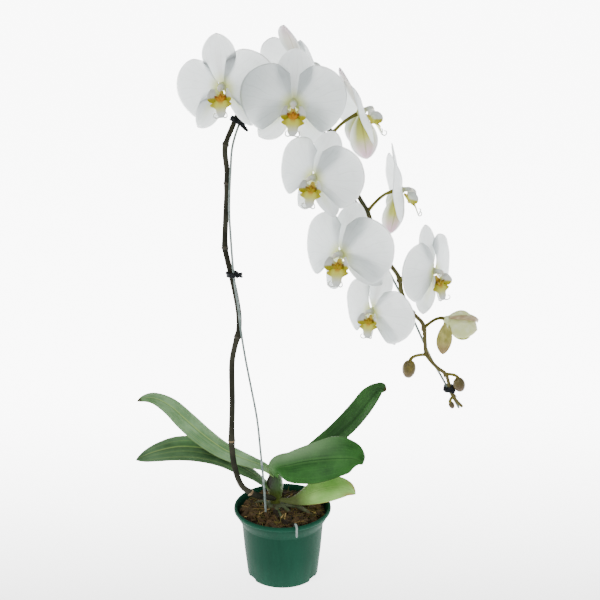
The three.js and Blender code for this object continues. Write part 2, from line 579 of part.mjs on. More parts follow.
/** The lip: two upright side lobes, a middle lobe with its callus, and two curled tendrils. */
function lip() {
  const sides = 5;
  const middleLobe = loft(LIP_LINE.map(([up, forward, halfWidth, halfDepth], i) => {
    const [before, after] = [LIP_LINE[Math.max(i - 1, 0)], LIP_LINE[Math.min(i + 1, LIP_LINE.length - 1)]];
    const across = new THREE.Vector3(0, after[1] - before[1], before[0] - after[0]).normalize();
    return Array.from({ length: sides }, (_, j) => {
      const turn = (2 * Math.PI * j) / sides;
      return new THREE.Vector3(halfWidth * Math.cos(turn), up, forward)
        .addScaledVector(across, halfDepth * Math.sin(turn));
    });
  }));
  const tendril = (side) => TENDRIL.map(([out, up, forward]) => new THREE.Vector3(side * out, up, forward));
  return joined(
    middleLobe,
    sideLobe(-1),
    sideLobe(1),
    ...[-1, 1].map((side) => rod(tendril(side), () => LIP_THICK.tendril, 3)),
  );
}

/** A frame whose z looks the way a flower faces, x to its viewer's right and y up, leaning as told. */
function facingFrame([azimuth, elevation], lean) {
  const [a, e] = [degrees(azimuth), degrees(elevation)];
  const facing = new THREE.Vector3(Math.sin(a) * Math.cos(e), -Math.cos(a) * Math.cos(e), Math.sin(e));
  const right = new THREE.Vector3(0, 0, 1).cross(facing).normalize();
  const frame = new THREE.Matrix4().makeBasis(right, facing.clone().cross(right), facing);
  const turned = new THREE.Quaternion().setFromRotationMatrix(frame);
  const roll = new THREE.Quaternion().setFromAxisAngle(new THREE.Vector3(0, 0, 1), -degrees(lean));
  return { facing, turned: turned.multiply(roll) };
}

/** A group that holds one bloom's tepals and lip where it hangs. */
function bloom(spec) {
  const group = new THREE.Group();
  group.position.set(...spec.centre);
  group.quaternion.copy(facingFrame(spec.faces, spec.lean).turned);
  group.scale.setScalar(spec.size);
  group.add(mesh(`${spec.name}_tepals`, tepals(spec), COLOURS.tepal, 0.55));
  const hanging = mesh(`${spec.name}_lip`, lip(), COLOURS.lip, 0.45);
  hanging.rotation.set(...spec.lip.map(degrees));
  group.add(hanging);
  return group;
}

/** The half-open bloom: four tepals still cupped over each other, and one that has let go. */
function halfOpenBloom() {
  const { centre, faces, lean, length, halfWidth } = HALF_OPEN;
  const cupped = (angle, lift, open) => {
    const axis = degrees(angle);
    const rows = [];
    for (let i = 0; i <= 4; i++) {
      const share = i / 4;
      const half = Math.max(halfWidth * Math.sin(Math.PI * share ** 0.9) ** 0.6, 2.2);
      const out = lift + open * Math.sin((Math.PI / 2) * share) - 0.35 * open * share ** 3;
      rows.push([-1, 0, 1].map((v) => {
        const depth = length * share;
        const hug = out * (1 - 0.28 * v * v);
        return new THREE.Vector3(
          hug * Math.sin(axis) + v * half * Math.cos(axis),
          hug * Math.cos(axis) - v * half * Math.sin(axis),
          depth - 4,
        );
      }));
    }
    return blade(rows, () => 1);
  };
  const shape = joined(
    ellipsoid([5, 5, HUB.back], [0, 0, -1.5], 6, 4),
    cupped(0, 3.2, 15), cupped(75, 1.6, 13), cupped(-75, 1.6, 13), cupped(150, 3.2, 12),
    sepal(-1, { ...LATERAL, length: length * 1.15, halfWidth: 9, back: -8, angle: 152, twist: -50 }),
  );
  const made = mesh("bloom_half_open", shape, COLOURS.halfOpen, 0.55);
  made.position.set(...centre);
  made.quaternion.copy(facingFrame(faces, lean).turned);
  return made;
}

/** A closed bud: three sepals folded edge to edge, so its section is softly three-lobed. */
function bud({ name, centre, tip, length, width }) {
  const sides = 9;
  const rings = [0.04, 0.16, 0.36, 0.6, 0.82, 0.97].map((share) => {
    const radius = (width / 2) * Math.sin(Math.PI * share ** 0.85) ** 0.55;
    return Array.from({ length: sides }, (_, j) => {
      const turn = (2 * Math.PI * j) / sides;
      const lobed = radius * (1 + 0.07 * Math.cos(3 * turn));
      return new THREE.Vector3(lobed * Math.cos(turn), lobed * Math.sin(turn), length * (share - 0.5));
    });
  });
  const made = mesh(name, solid(loft(rings)), COLOURS.bud, 0.5);
  made.position.set(...centre);
  made.quaternion.setFromUnitVectors(new THREE.Vector3(0, 0, 1), new THREE.Vector3(...tip).normalize());
  return made;
}

/** The spike: its stem, its node rings, and a pedicel for every bloom and bud, as one grown piece. */
function spike() {
  const ends = [...BLOOMS, HALF_OPEN].map(({ centre, faces, lean, size = 1, from }) => {
    const { facing } = facingFrame(faces, lean);
    const back = new THREE.Vector3(...centre).addScaledVector(facing, -size * (HUB.back + 1.5) - FIT);
    return pedicel(from, back, facing);
  });
  const budEnds = BUDS.map(({ centre, tip, length, from }) => {
    const facing = new THREE.Vector3(...tip).normalize();
    return pedicel(from, new THREE.Vector3(...centre).addScaledVector(facing, -length * 0.46 - 3 * FIT), facing);
  });
  return joined(spikeStem(), ...SPIKE_RINGS.map(nodeRing), ...ends, ...budEnds);
}

// ---------------------------------------------------------------- the whole plant

const orchid = new THREE.Group();
const crownClear = solid(crown(FIT));
const spikeClear = solid(spikeStem(FIT));
const wireClear = solid(wire(FIT));
const rootsClear = roots(FIT);

orchid.add(mesh("pot", pot(), COLOURS.pot, 0.35));
orchid.add(mesh("bark", bark().subtract(crownClear).subtract(wireClear).subtract(rootsClear)
  .subtract(spikeClear), COLOURS.bark, 0.95));
orchid.add(mesh("crown", solid(crown()).subtract(spikeClear), COLOURS.crown));
orchid.add(mesh("roots", roots().subtract(crownClear).subtract(wireClear).subtract(spikeClear),
  COLOURS.root, 0.8));
for (const spec of LEAVES)
  orchid.add(mesh(spec.name, solid(leaf(spec)).subtract(crownClear), spec.colour, 0.4));
orchid.add(mesh("spike", spike().subtract(crownClear), COLOURS.spike, 0.5));
orchid.add(mesh("wire", wire(), COLOURS.wire, 0.4, 0.9));
for (const spec of TIES)
  orchid.add(mesh(spec.name, tie(spec).subtract(spikeClear).subtract(wireClear), COLOURS.tie, 0.5));
for (const spec of BLOOMS) orchid.add(bloom(spec));
orchid.add(halfOpenBloom());
for (const spec of BUDS) orchid.add(bud(spec));

export default orchid;
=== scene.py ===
"""A potted moth orchid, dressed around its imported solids.

The plant stands in bark in a green nursery pot: five leaves on a short stem, roots over the bark, and a
spike, tied to a wire, with nine open blooms, one half-open bloom and three buds. Sizes and places are
millimetres in the solids' own frame (+Z up, the front is -Y); a finished mesh is scaled to metres.
"""

import logging
import random
from abc import ABC, abstractmethod
from dataclasses import dataclass, replace
from enum import Enum
from math import copysign, cos, exp, hypot, pi, radians, sin, sqrt, tan
from typing import Callable, Mapping, Optional, Sequence, Union

import bpy
from mathutils import Matrix, Quaternion, Vector, geometry, noise


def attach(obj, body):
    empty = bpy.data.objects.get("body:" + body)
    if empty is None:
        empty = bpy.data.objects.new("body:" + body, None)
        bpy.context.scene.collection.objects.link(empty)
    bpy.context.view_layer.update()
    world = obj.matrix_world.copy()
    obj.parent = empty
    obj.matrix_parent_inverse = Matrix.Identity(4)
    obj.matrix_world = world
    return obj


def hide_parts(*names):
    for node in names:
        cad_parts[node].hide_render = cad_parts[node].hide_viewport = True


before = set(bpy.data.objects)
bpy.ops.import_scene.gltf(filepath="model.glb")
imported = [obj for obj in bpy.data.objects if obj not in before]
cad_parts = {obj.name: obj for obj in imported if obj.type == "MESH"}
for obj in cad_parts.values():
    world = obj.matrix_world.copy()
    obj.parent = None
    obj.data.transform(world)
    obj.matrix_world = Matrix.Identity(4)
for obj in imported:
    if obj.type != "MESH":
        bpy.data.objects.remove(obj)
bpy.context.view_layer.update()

log = logging.getLogger("potted_orchid")

MM = 0.001
TURN = 2 * pi
GOLDEN_ANGLE = 2.39996  # between neighbours in a spread with no rows
UP = Vector((0, 0, 1))

Pair = tuple[float, float]
Point = tuple[float, float, float]
Colour = tuple[float, float, float, float]
Piece = bpy.types.Object


class Side(Enum):
    """Which side of a bloom a tepal grows on, as its viewer sees it."""

    LEFT = -1
    TOP = 0
    RIGHT = 1


class Kind(Enum):
    """What lies loose on the bark."""

    CHIP = "chip"
    MOSS = "moss"
    STRAW = "straw"


# ---- numbers and curves


def srgb(red: float, green: float, blue: float) -> Colour:
    """A linear colour from a screen colour's parts, each 0 to 255.

    Args:
        red: its red part.
        green: its green part.
        blue: its blue part.

    Returns:
        The linear colour, with an alpha of 1.
    """

    def linear(part: float) -> float:
        """One part of the colour, made linear."""
        share = part / 255
        return share / 12.92 if share <= 0.04045 else ((share + 0.055) / 1.055) ** 2.4

    return (linear(red), linear(green), linear(blue), 1.0)


def lerp(low: float, high: float, share: float) -> float:
    """The number a share of the way from low to high."""
    return low + (high - low) * share


def clamp(value: float, low: float = 0.0, high: float = 1.0) -> float:
    """The value, held between low and high."""
    return max(low, min(high, value))


def ease(low: float, high: float, value: float) -> float:
    """0 below low, 1 above high, and a smooth step between."""
    share = clamp((value - low) / (high - low))
    return share * share * (3 - 2 * share)


def polar(radius: float, turn: float, z: float) -> Vector:
    """The point at a radius, a share of a full turn and a height."""
    return Vector((radius * cos(TURN * turn), radius * sin(TURN * turn), z))


class Track:
    """Values at even steps, read smoothly between them."""

    def __init__(self, values: Sequence[Union[float, Sequence[float]]]) -> None:
        """Keeps the values, which are numbers or rows of numbers, one for each step."""
        self.rows = [tuple(v) if isinstance(v, (tuple, list, Vector)) else (v,) for v in values]

    def at(self, share: float) -> tuple[float, ...]:
        """The row of numbers at a share of the track's length.

        Args:
            share: 0 at the first value and 1 at the last.

        Returns:
            The smoothly blended row.
        """
        last = len(self.rows) - 1
        place = clamp(share) * last
        low = min(int(place), last - 1)
        t = place - low
        b, c = self.rows[low], self.rows[low + 1]
        a = self.rows[low - 1] if low > 0 else tuple(2 * p - q for p, q in zip(b, c))
        d = self.rows[low + 2] if low + 2 <= last else tuple(2 * q - p for p, q in zip(b, c))
        return tuple(
            0.5 * (2 * q + (r - p) * t + (2 * p - 5 * q + 4 * r - s) * t**2 + (3 * q - p - 3 * r + s) * t**3)
            for p, q, r, s in zip(a, b, c, d)
        )

    def number(self, share: float) -> float:
        """The first number of the row at a share of the track's length."""
        return self.at(share)[0]


FIRST_NORMAL = (0.31, 0.95, 0.05)  # no route here starts along it


class Route:
    """A smooth curve through points, with a frame carried along it that turns as little as it can."""

    def __init__(self, points: Sequence[Union[Point, Vector]], steps: int = 4) -> None:
        """Lays the curve.

        Args:
            points: the points that it passes through.
            steps: how many stations each span has.
        """
        self.knots = [Vector(p) for p in points]
        self.stations = self._stations(steps)
        self.last = len(self.knots) - 1
        before = self.stations[:1] + self.stations[:-1]
        after = self.stations[1:] + self.stations[-1:]
        self.ways = [(b - a).normalized() for a, b in zip(before, after)]
        self.normals = []
        normal = Vector(FIRST_NORMAL)
        for way in self.ways:
            normal = (normal - way * normal.dot(way)).normalized()
            self.normals.append(normal.copy())

    def _stations(self, steps: int) -> list[Vector]:
        """The curve's points, with steps of them to a span.

        Args:
            steps: how many of them a span has.

        Returns:
            The points, from the first knot to the last.
        """
        knots = self.knots
        gaps = [max((b - a).length, 1e-6) ** 0.5 for a, b in zip(knots, knots[1:])]

        def slope(i: int) -> Vector:
            """The curve's slope at a knot, for spans as long as the gaps."""
            if i == 0:
                return (knots[1] - knots[0]) / gaps[0]
            if i == len(knots) - 1:
                return (knots[-1] - knots[-2]) / gaps[-1]
            before = (knots[i] - knots[i - 1]) / gaps[i - 1]
            after = (knots[i + 1] - knots[i]) / gaps[i]
            return (before * gaps[i] + after * gaps[i - 1]) / (gaps[i] + gaps[i - 1])

        points: list[Vector] = []
        for i, gap in enumerate(gaps):
            a, b = knots[i], knots[i + 1]
            handles = (a + slope(i) * gap / 3, b - slope(i + 1) * gap / 3)
            span = geometry.interpolate_bezier(a, handles[0], handles[1], b, steps + 1)
            points.extend(span[:-1])
        return points + [knots[-1]]

    def at(self, share: float) -> tuple[Vector, Vector, Vector, Vector]:
        """The centre, normal, binormal and way at a share of the route, counted in its points.

        Args:
            share: 0 at the first point and 1 at the last.

        Returns:
            The centre and three unit vectors.
        """
        last = len(self.stations) - 1
        place = clamp(share) * last
        low = min(int(place), last - 1)
        t = place - low
        way = self.ways[low].lerp(self.ways[low + 1], t).normalized()
        normal = self.normals[low].lerp(self.normals[low + 1], t)
        normal = (normal - way * normal.dot(way)).normalized()
        return self.stations[low].lerp(self.stations[low + 1], t), normal, way.cross(normal), way

    def knot(self, place: float) -> Vector:
        """The point at a place counted in the route's own points."""
        return self.at(place / self.last)[0]

    def way_at(self, place: float) -> Vector:
        """The way that the route runs at a place counted in its own points."""
        return self.at(place / self.last)[3]


# ---- meshes


def deselect() -> None:
    """Leaves edit mode and selects nothing."""
    if bpy.context.object and bpy.context.object.mode != "OBJECT":
        bpy.ops.object.mode_set(mode="OBJECT")
    bpy.ops.object.select_all(action="DESELECT")


def choose(piece: Piece) -> None:
    """Selects one piece alone and makes it active.

    Args:
        piece: the mesh object.
    """
    deselect()
    piece.select_set(True)
    bpy.context.view_layer.objects.active = piece


def edit(piece: Piece) -> None:
    """Opens a piece in edit mode with all of it selected.

    Args:
        piece: the mesh object.
    """
    choose(piece)
    bpy.ops.object.mode_set(mode="EDIT")
    bpy.ops.mesh.select_all(action="SELECT")


def close(piece: Piece, threshold: float = 0.004) -> None:
    """Merges a mesh's doubled points and turns its faces outwards.

    Args:
        piece: the mesh object.
        threshold: how near two points have to be to merge.
    """
    edit(piece)
    bpy.ops.mesh.remove_doubles(threshold=threshold)
    bpy.ops.mesh.normals_make_consistent(inside=False)
    bpy.ops.object.mode_set(mode="OBJECT")


def loft(name: str, place: Callable[[float, float], Vector], around: int, rows: int) -> Piece:
    """A closed form from a grid that is wrapped round: x goes round it and y from its foot to its tip.

    Args:
        name: the piece's name.
        place: the point for a share of the way round and a share of the way along.
        around: how many faces go round.
        rows: how many faces go along.

    Returns:
        The mesh object, whose UV map holds the two shares.
    """
    deselect()
    bpy.ops.mesh.primitive_grid_add(x_subdivisions=around, y_subdivisions=rows, size=1.0, calc_uvs=True)
    piece = bpy.context.object
    piece.name = piece.data.name = name
    for vertex in piece.data.vertices:
        vertex.co = place(clamp(vertex.co.x + 0.5), clamp(vertex.co.y + 0.5))
    close(piece)
    smooth(piece)
    return piece


def smooth(piece: Piece, angle: float = 180.0) -> None:
    """Shades a piece smooth, apart from edges sharper than an angle in degrees.

    Args:
        piece: the mesh object.
        angle: how sharp an edge may be and stay smooth.
    """
    choose(piece)
    if angle >= 180:
        bpy.ops.object.shade_smooth()
    else:
        bpy.ops.object.shade_smooth_by_angle(angle=radians(angle))


DOME = ((0.0, 1.0), (0.5, 0.87), (0.87, 0.5))  # rings of a rounded end: their size and how far out they lie
MARGIN_STEP = 0.012  # how far apart a blade's surface is read for its slope
MARGIN_ROUNDING = 0.45  # a lower power makes a blade's margin blunter
END_ROUNDING = 12  # a higher factor makes a blade's foot and tip blunter
FLAT = 1e-14  # below this squared length a blade has no normal, as at its foot and tip


def tube(
    name: str,
    route: Route,
    radius: Callable[[float], float],
    around: int = 12,
    rows: Optional[int] = None,
    flute: Optional[Callable[[float, float], float]] = None,
) -> Piece:
    """A round rod along a route, with domed ends.

    Args:
        name: the piece's name.
        route: the line along its middle.
        radius: its radius at a share of the way.
        around: how many faces go round.
        rows: how many faces go along, or one for each station.
        flute: a factor on the radius for a share of the way round and along.

    Returns:
        The mesh object.
    """
    count = rows or len(route.stations) - 1
    rings = [(0.0, size, -out) for size, out in DOME]
    rings += [(i / count, 1.0, 0.0) for i in range(count + 1)]
    rings += [(1.0, size, out) for size, out in reversed(DOME)]

    def place(turn: float, share: float) -> Vector:
        """A point on the rod's skin."""
        along, size, out = rings[round(share * (len(rings) - 1))]
        centre, normal, binormal, way = route.at(along)
        reach = radius(along)
        factor = flute(turn, along) if flute else 1.0
        angle = TURN * turn
        spoke = normal * cos(angle) + binormal * sin(angle)
        return centre + way * (out * reach) + spoke * (reach * size * factor)

    return loft(name, place, around, len(rings) - 1)


def blade(
    name: str,
    middle: Callable[[float, float], Vector],
    thick: Callable[[float, float], float],
    around: int,
    rows: int,
    face: int = 1,
) -> Piece:
    """A thin closed form on both sides of a middle surface, rounded off at its margin.

    Args:
        name: the piece's name.
        middle: the middle surface's point for -1 to 1 across and 0 to 1 along.
        thick: the thickness there.
        around: how many faces go round.
        rows: how many faces go along.
        face: 1 where the front lies on the side that across times along points to, and -1 where it doesn't.

    Returns:
        The mesh object. Its UV map's x is 0 to 0.5 on the front and 0.5 to 1 on the back.
    """
    step = MARGIN_STEP

    def place(turn: float, share: float) -> Vector:
        """A point on the blade's skin."""
        v = cos(TURN * turn)
        across = middle(min(v + step, 1), share) - middle(max(v - step, -1), share)
        along = middle(v, min(share + step, 1)) - middle(v, max(share - step, 0))
        normal = across.cross(along) * face
        normal = normal.normalized() if normal.length_squared > FLAT else Vector()
        rise = sin(TURN * turn)
        ends = min(1.0, sqrt(END_ROUNDING * share), sqrt(END_ROUNDING * (1 - share)))
        half = 0.5 * thick(v, share) * copysign(abs(rise) ** MARGIN_ROUNDING, rise) * ends
        if abs(rise) < 1e-9:
            half = 0.0
        return middle(v, share) + normal * half

    return loft(name, place, around, rows)


def modify(piece: Piece, kind: str, **settings: object) -> None:
    """Adds one modifier to a piece and applies it.

    Args:
        piece: the mesh object.
        kind: the modifier's type.
        settings: its settings.
    """
    modifier = piece.modifiers.new(kind.title(), kind)
    for key, value in settings.items():
        setattr(modifier, key, value)
    choose(piece)
    bpy.ops.object.modifier_apply(modifier=modifier.name)


def join(name: str, pieces: Sequence[Piece]) -> Piece:
    """Several meshes as one, under a new name.

    Args:
        name: the new name.
        pieces: the meshes, which are used up.

    Returns:
        The one mesh object.
    """
    deselect()
    for piece in pieces:
        piece.select_set(True)
    bpy.context.view_layer.objects.active = pieces[0]
    if len(pieces) > 1:
        bpy.ops.object.join()
    joined = bpy.context.view_layer.objects.active
    joined.name = joined.data.name = name
    return joined


def copy_of(piece: Piece, matrix: Matrix) -> Piece:
    """A copy of a piece with a mesh of its own, moved by a matrix.

    Args:
        piece: the mesh object.
        matrix: how the copy is moved.

    Returns:
        The copy.
    """
    copied = piece.copy()
    copied.data = piece.data.copy()
    bpy.context.scene.collection.objects.link(copied)
    copied.data.transform(matrix)
    return copied


def remove(piece: Piece) -> None:
    """Takes a piece and its mesh out of the scene."""
    bpy.data.meshes.remove(piece.data)


def dress(piece: Piece, finish: "Finish") -> Piece:
    """Gives a piece one finish."""
    piece.data.materials.append(finish.material())
    return piece


def note_places(piece: Piece) -> None:
    """Stores each point's place, in millimetres of the piece's own frame, as the attribute "local".

    Args:
        piece: the mesh object.
    """
    mesh = piece.data
    places = mesh.attributes.new("local", "FLOAT_VECTOR", "POINT")
    flat = [0.0] * (3 * len(mesh.vertices))
    mesh.vertices.foreach_get("co", flat)
    places.data.foreach_set("vector", flat)


def note_shade(piece: Piece, shade: float) -> None:
    """Stores one number for a whole small piece as the attribute "shade"."""
    shades = piece.data.attributes.new("shade", "FLOAT", "POINT")
    shades.data.foreach_set("value", [shade] * len(piece.data.vertices))


def settle(piece: Piece, slot: str, *nodes: str, matrix: Optional[Matrix] = None) -> None:
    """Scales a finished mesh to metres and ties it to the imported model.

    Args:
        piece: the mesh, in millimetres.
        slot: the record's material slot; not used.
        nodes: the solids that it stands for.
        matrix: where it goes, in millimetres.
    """
    piece.data.transform(Matrix.Scale(MM, 4) @ (matrix or Matrix.Identity(4)))
    piece.data.update()
    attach(piece, "root")
    if nodes:
        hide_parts(*nodes)
    faces = len(piece.data.polygons)
    log.info("%s: %d faces, stands for %s", piece.name, faces, ", ".join(nodes) or "nothing")


# ---- shaders

Number = Union["Value", float]
Input = Union["Value", float, Sequence[float]]


class Value:
    """One output of a material's nodes, which can be used in sums as a number is."""

    def __init__(self, shader: "Shader", socket: bpy.types.NodeSocket) -> None:
        """Keeps the socket and the shader that it belongs to."""
        self.shader = shader
        self.socket = socket

    def math(self, operation: str, *others: Number) -> "Value":
        """A Math node on this value and others."""
        inputs = dict(enumerate((self, *others)))
        return self.shader.node("ShaderNodeMath", {"operation": operation}, inputs)

    def __add__(self, other: Number) -> "Value":
        """This value plus another."""
        return self.math("ADD", other)

    __radd__ = __add__

    def __sub__(self, other: Number) -> "Value":
        """This value less another."""
        return self.math("SUBTRACT", other)

    def __rsub__(self, other: float) -> "Value":
        """A number less this value."""
        return self.shader.node("ShaderNodeMath", {"operation": "SUBTRACT"}, {0: other, 1: self})

    def __mul__(self, other: Number) -> "Value":
        """This value times another."""
        return self.math("MULTIPLY", other)

    __rmul__ = __mul__

    def __abs__(self) -> "Value":
        """This value without its sign."""
        return self.math("ABSOLUTE")

    def sine(self) -> "Value":
        """The sine of this value."""
        return self.math("SINE")

    def cosine(self) -> "Value":
        """The cosine of this value."""
        return self.math("COSINE")

    def over(self, limit: Number) -> "Value":
        """1 where this value is greater than a limit, and 0 elsewhere."""
        return self.math("GREATER_THAN", limit)

    def rise(self, low: float, high: float) -> "Value":
        """0 below low, 1 above high, and a smooth step between."""
        settings = {"interpolation_type": "SMOOTHSTEP", "clamp": True}
        return self.shader.node("ShaderNodeMapRange", settings, {0: self, 1: low, 2: high, 3: 0.0, 4: 1.0})

    def fall(self, low: float, high: float) -> "Value":
        """1 below low, 0 above high, and a smooth step between."""
        return 1 - self.rise(low, high)


class Shader:
    """A material and the nodes that make it."""

    def __init__(self, name: str) -> None:
        """Starts a material with its plain surface shader.

        Args:
            name: the material's name.
        """
        self.material = bpy.data.materials.new(name)
        self.material.use_nodes = True
        self.tree = self.material.node_tree
        self.surface = self.tree.nodes["Principled BSDF"]

    def node(
        self,
        kind: str,
        settings: Optional[Mapping[str, object]] = None,
        inputs: Optional[Mapping[Union[int, str], Input]] = None,
        output: Union[int, str] = 0,
    ) -> Value:
        """Adds a node.

        Args:
            kind: the node's type.
            settings: its settings, such as an operation.
            inputs: the value or link of each socket, by place or name.
            output: which output to return.

        Returns:
            The output as a value.
        """
        made = self.tree.nodes.new(kind)
        for key, value in (settings or {}).items():
            setattr(made, key, value)
        for key, value in (inputs or {}).items():
            if isinstance(value, Value):
                self.tree.links.new(value.socket, made.inputs[key])
            else:
                made.inputs[key].default_value = value
        return Value(self, made.outputs[output])

    def coordinates(self) -> Value:
        """The piece's own place in metres."""
        return self.node("ShaderNodeTexCoord", output="Object")

    def uv(self) -> tuple[Value, Value]:
        """The share of the way round and the share of the way along."""
        around, along, _ = self.split(self.node("ShaderNodeTexCoord", output="UV"))
        return around, along

    def local(self) -> Value:
        """The place in the bloom's own frame, in millimetres."""
        return self.node("ShaderNodeAttribute", {"attribute_name": "local"}, output="Vector")

    def shade(self) -> Value:
        """The number that a small piece carries for itself."""
        return self.node("ShaderNodeAttribute", {"attribute_name": "shade"}, output="Fac")

    def split(self, vector: Value) -> tuple[Value, Value, Value]:
        """A vector's three parts."""
        outputs = self.node("ShaderNodeSeparateXYZ", inputs={0: vector}).socket.node.outputs
        return Value(self, outputs[0]), Value(self, outputs[1]), Value(self, outputs[2])

    def vector(self, x: Number, y: Number, z: Number = 0.0) -> Value:
        """A vector of three parts."""
        return self.node("ShaderNodeCombineXYZ", inputs={0: x, 1: y, 2: z})

    def stretch(self, vector: Value, factors: Point) -> Value:
        """A vector with each part multiplied by a factor of its own."""
        return self.node("ShaderNodeVectorMath", {"operation": "MULTIPLY"}, {0: vector, 1: factors})

    def distance(self, vector: Value, point: Point) -> Value:
        """How far a vector lies from a point."""
        return self.node("ShaderNodeVectorMath", {"operation": "DISTANCE"}, {0: vector, 1: point}, "Value")

    def grain(self, vector: Value, scale: float, detail: float = 2.0, roughness: float = 0.5) -> Value:
        """Soft noise between 0 and 1."""
        inputs = {"Vector": vector, "Scale": scale, "Detail": detail, "Roughness": roughness}
        return self.node("ShaderNodeTexNoise", inputs=inputs, output="Fac")

    def cells(self, vector: Value, scale: float) -> Value:
        """The distance to the nearest of many scattered points."""
        inputs = {"Vector": vector, "Scale": scale}
        return self.node("ShaderNodeTexVoronoi", {"feature": "F1"}, inputs, "Distance")

    def mix(self, factor: Number, low: Input, high: Input) -> Value:
        """A colour between two others."""
        inputs = {0: factor, 6: low, 7: high}
        return self.node("ShaderNodeMix", {"data_type": "RGBA"}, inputs, 2)

    def bump(self, height: Value, depth: float, strength: float = 1.0) -> Value:
        """A normal that follows a height of 0 to 1, where 1 stands proud by the depth in metres."""
        inputs = {"Strength": strength, "Distance": depth, "Height": height}
        return self.node("ShaderNodeBump", inputs=inputs, output="Normal")

    def finish(
        self, colour: Input, roughness: Number, normal: Optional[Value] = None, **constants: object
    ) -> None:
        """Sets the surface shader.

        Args:
            colour: its base colour.
            roughness: its roughness.
            normal: its bent normal.
            constants: other sockets by name, with spaces as underscores.
        """
        sockets: dict[str, Input] = {"Base Color": colour, "Roughness": roughness}
        if normal:
            sockets["Normal"] = normal
        for name, value in constants.items():
            sockets[name.replace("_", " ")] = value
        for name, value in sockets.items():
            socket = self.surface.inputs[name]
            if isinstance(value, Value):
                self.tree.links.new(value.socket, socket)
            else:
                socket.default_value = value


UPRIGHT = (1, 1, 0.12)  # draws noise out along Z


def lit_through(weight: float, depth: Point) -> dict[str, object]:
    """The sockets of a skin that light enters, with how far red, green and blue reach, in metres."""
    return {"Subsurface_Weight": weight, "Subsurface_Radius": depth, "Subsurface_Scale": 1.0}


class Finish(ABC):
    """A surface finish, made once and shared by the pieces that wear it."""

    name: str

    @abstractmethod
    def paint(self, shader: Shader) -> None:
        """Adds the finish's nodes to a new shader.

        Args:
            shader: the new material's shader.
        """

    def material(self) -> bpy.types.Material:
        """The finish's material, made at its first use.

        Returns:
            The material, shared by all that wear the finish.
        """
        made = bpy.data.materials.get(self.name)
        if made:
            return made
        shader = Shader(self.name)
        self.paint(shader)
        return shader.material


@dataclass(frozen=True)
class PotPlastic(Finish):
    """Thin moulded green plastic: dull, with faint rings from the mould, a painted highlight on its rim and
    a dusty foot.

    Heights are in metres.
    """

    name: str = "pot_plastic"
    wall: Colour = srgb(12, 52, 38)
    # the paler plastic of the streaks, and the colour of the painted highlight on the rim
    bright: Colour = srgb(22, 72, 54)
    dust: Colour = srgb(40, 76, 56)
    # heights where the painted highlight on the rim sets in
    rim: Pair = (0.0795, 0.0855)
    dusty: float = 0.03
    mould_rings: float = 4200.0

    def paint(self, shader: Shader) -> None:
        """Adds the plastic's nodes.

        Args:
            shader: the new material's shader.
        """
        place = shader.coordinates()
        _, _, z = shader.split(place)
        streaks = shader.grain(shader.stretch(place, UPRIGHT), 60, 4, 0.6)
        rings = ((z * self.mould_rings).sine() * 0.5 + 0.5) * 0.35
        speckle = shader.grain(place, 900, 2)
        colour = shader.mix(streaks.rise(0.35, 0.7) * 0.3, self.wall, self.bright)
        # painted highlight: the rim is mixed towards the bright colour
        colour = shader.mix(z.rise(*self.rim) * 0.6, colour, self.bright)
        grit = shader.grain(place, 140, 4, 0.7).rise(0.62, 0.8) * z.fall(0.0, self.dusty) * 0.25
        colour = shader.mix(grit, colour, self.dust)
        roughness = 0.5 + streaks * 0.14 + grit * 0.3
        relief = shader.bump(rings + speckle * 0.25, 0.00006, 0.6)
        shader.finish(colour, roughness, relief, Specular_IOR_Level=0.05)


@dataclass(frozen=True)
class BarkFinish(Finish):
    """Damp bark and brown moss: dark, rough and mottled."""

    name: str = "bark_bed"
    dark: Colour = srgb(22, 14, 8)
    brown: Colour = srgb(48, 38, 22)
    olive: Colour = srgb(62, 58, 26)

    def paint(self, shader: Shader) -> None:
        """Adds the bed's nodes.

        Args:
            shader: the new material's shader.
        """
        place = shader.coordinates()
        lumps = shader.cells(place, 320)
        fibres = shader.grain(place, 420, 6, 0.7)
        patches = shader.grain(place, 60, 3)
        colour = shader.mix(fibres.rise(0.3, 0.7), self.dark, self.brown)
        colour = shader.mix(patches.rise(0.5, 0.7) * 0.5, colour, self.olive)
        height = fibres * 0.6 + lumps * 0.6
        shader.finish(colour, 0.95, shader.bump(height, 0.0018), Specular_IOR_Level=0.2)


@dataclass(frozen=True)
class LitterFinish(Finish):
    """One kind of loose litter, whose pieces run from one colour to another."""

    name: str
    dark: Colour
    light: Colour
    scale: float = 500.0

    def paint(self, shader: Shader) -> None:
        """Adds the litter's nodes.

        Args:
            shader: the new material's shader.
        """
        place = shader.coordinates()
        shade = shader.shade()
        fibres = shader.grain(place, self.scale, 5, 0.65)
        colour = shader.mix((shade * 0.75 + fibres * 0.5 - 0.12).rise(0.0, 1.0), self.dark, self.light)
        roughness = 0.75 + fibres * 0.2
        shader.finish(colour, roughness, shader.bump(fibres, 0.0006), Specular_IOR_Level=0.3)


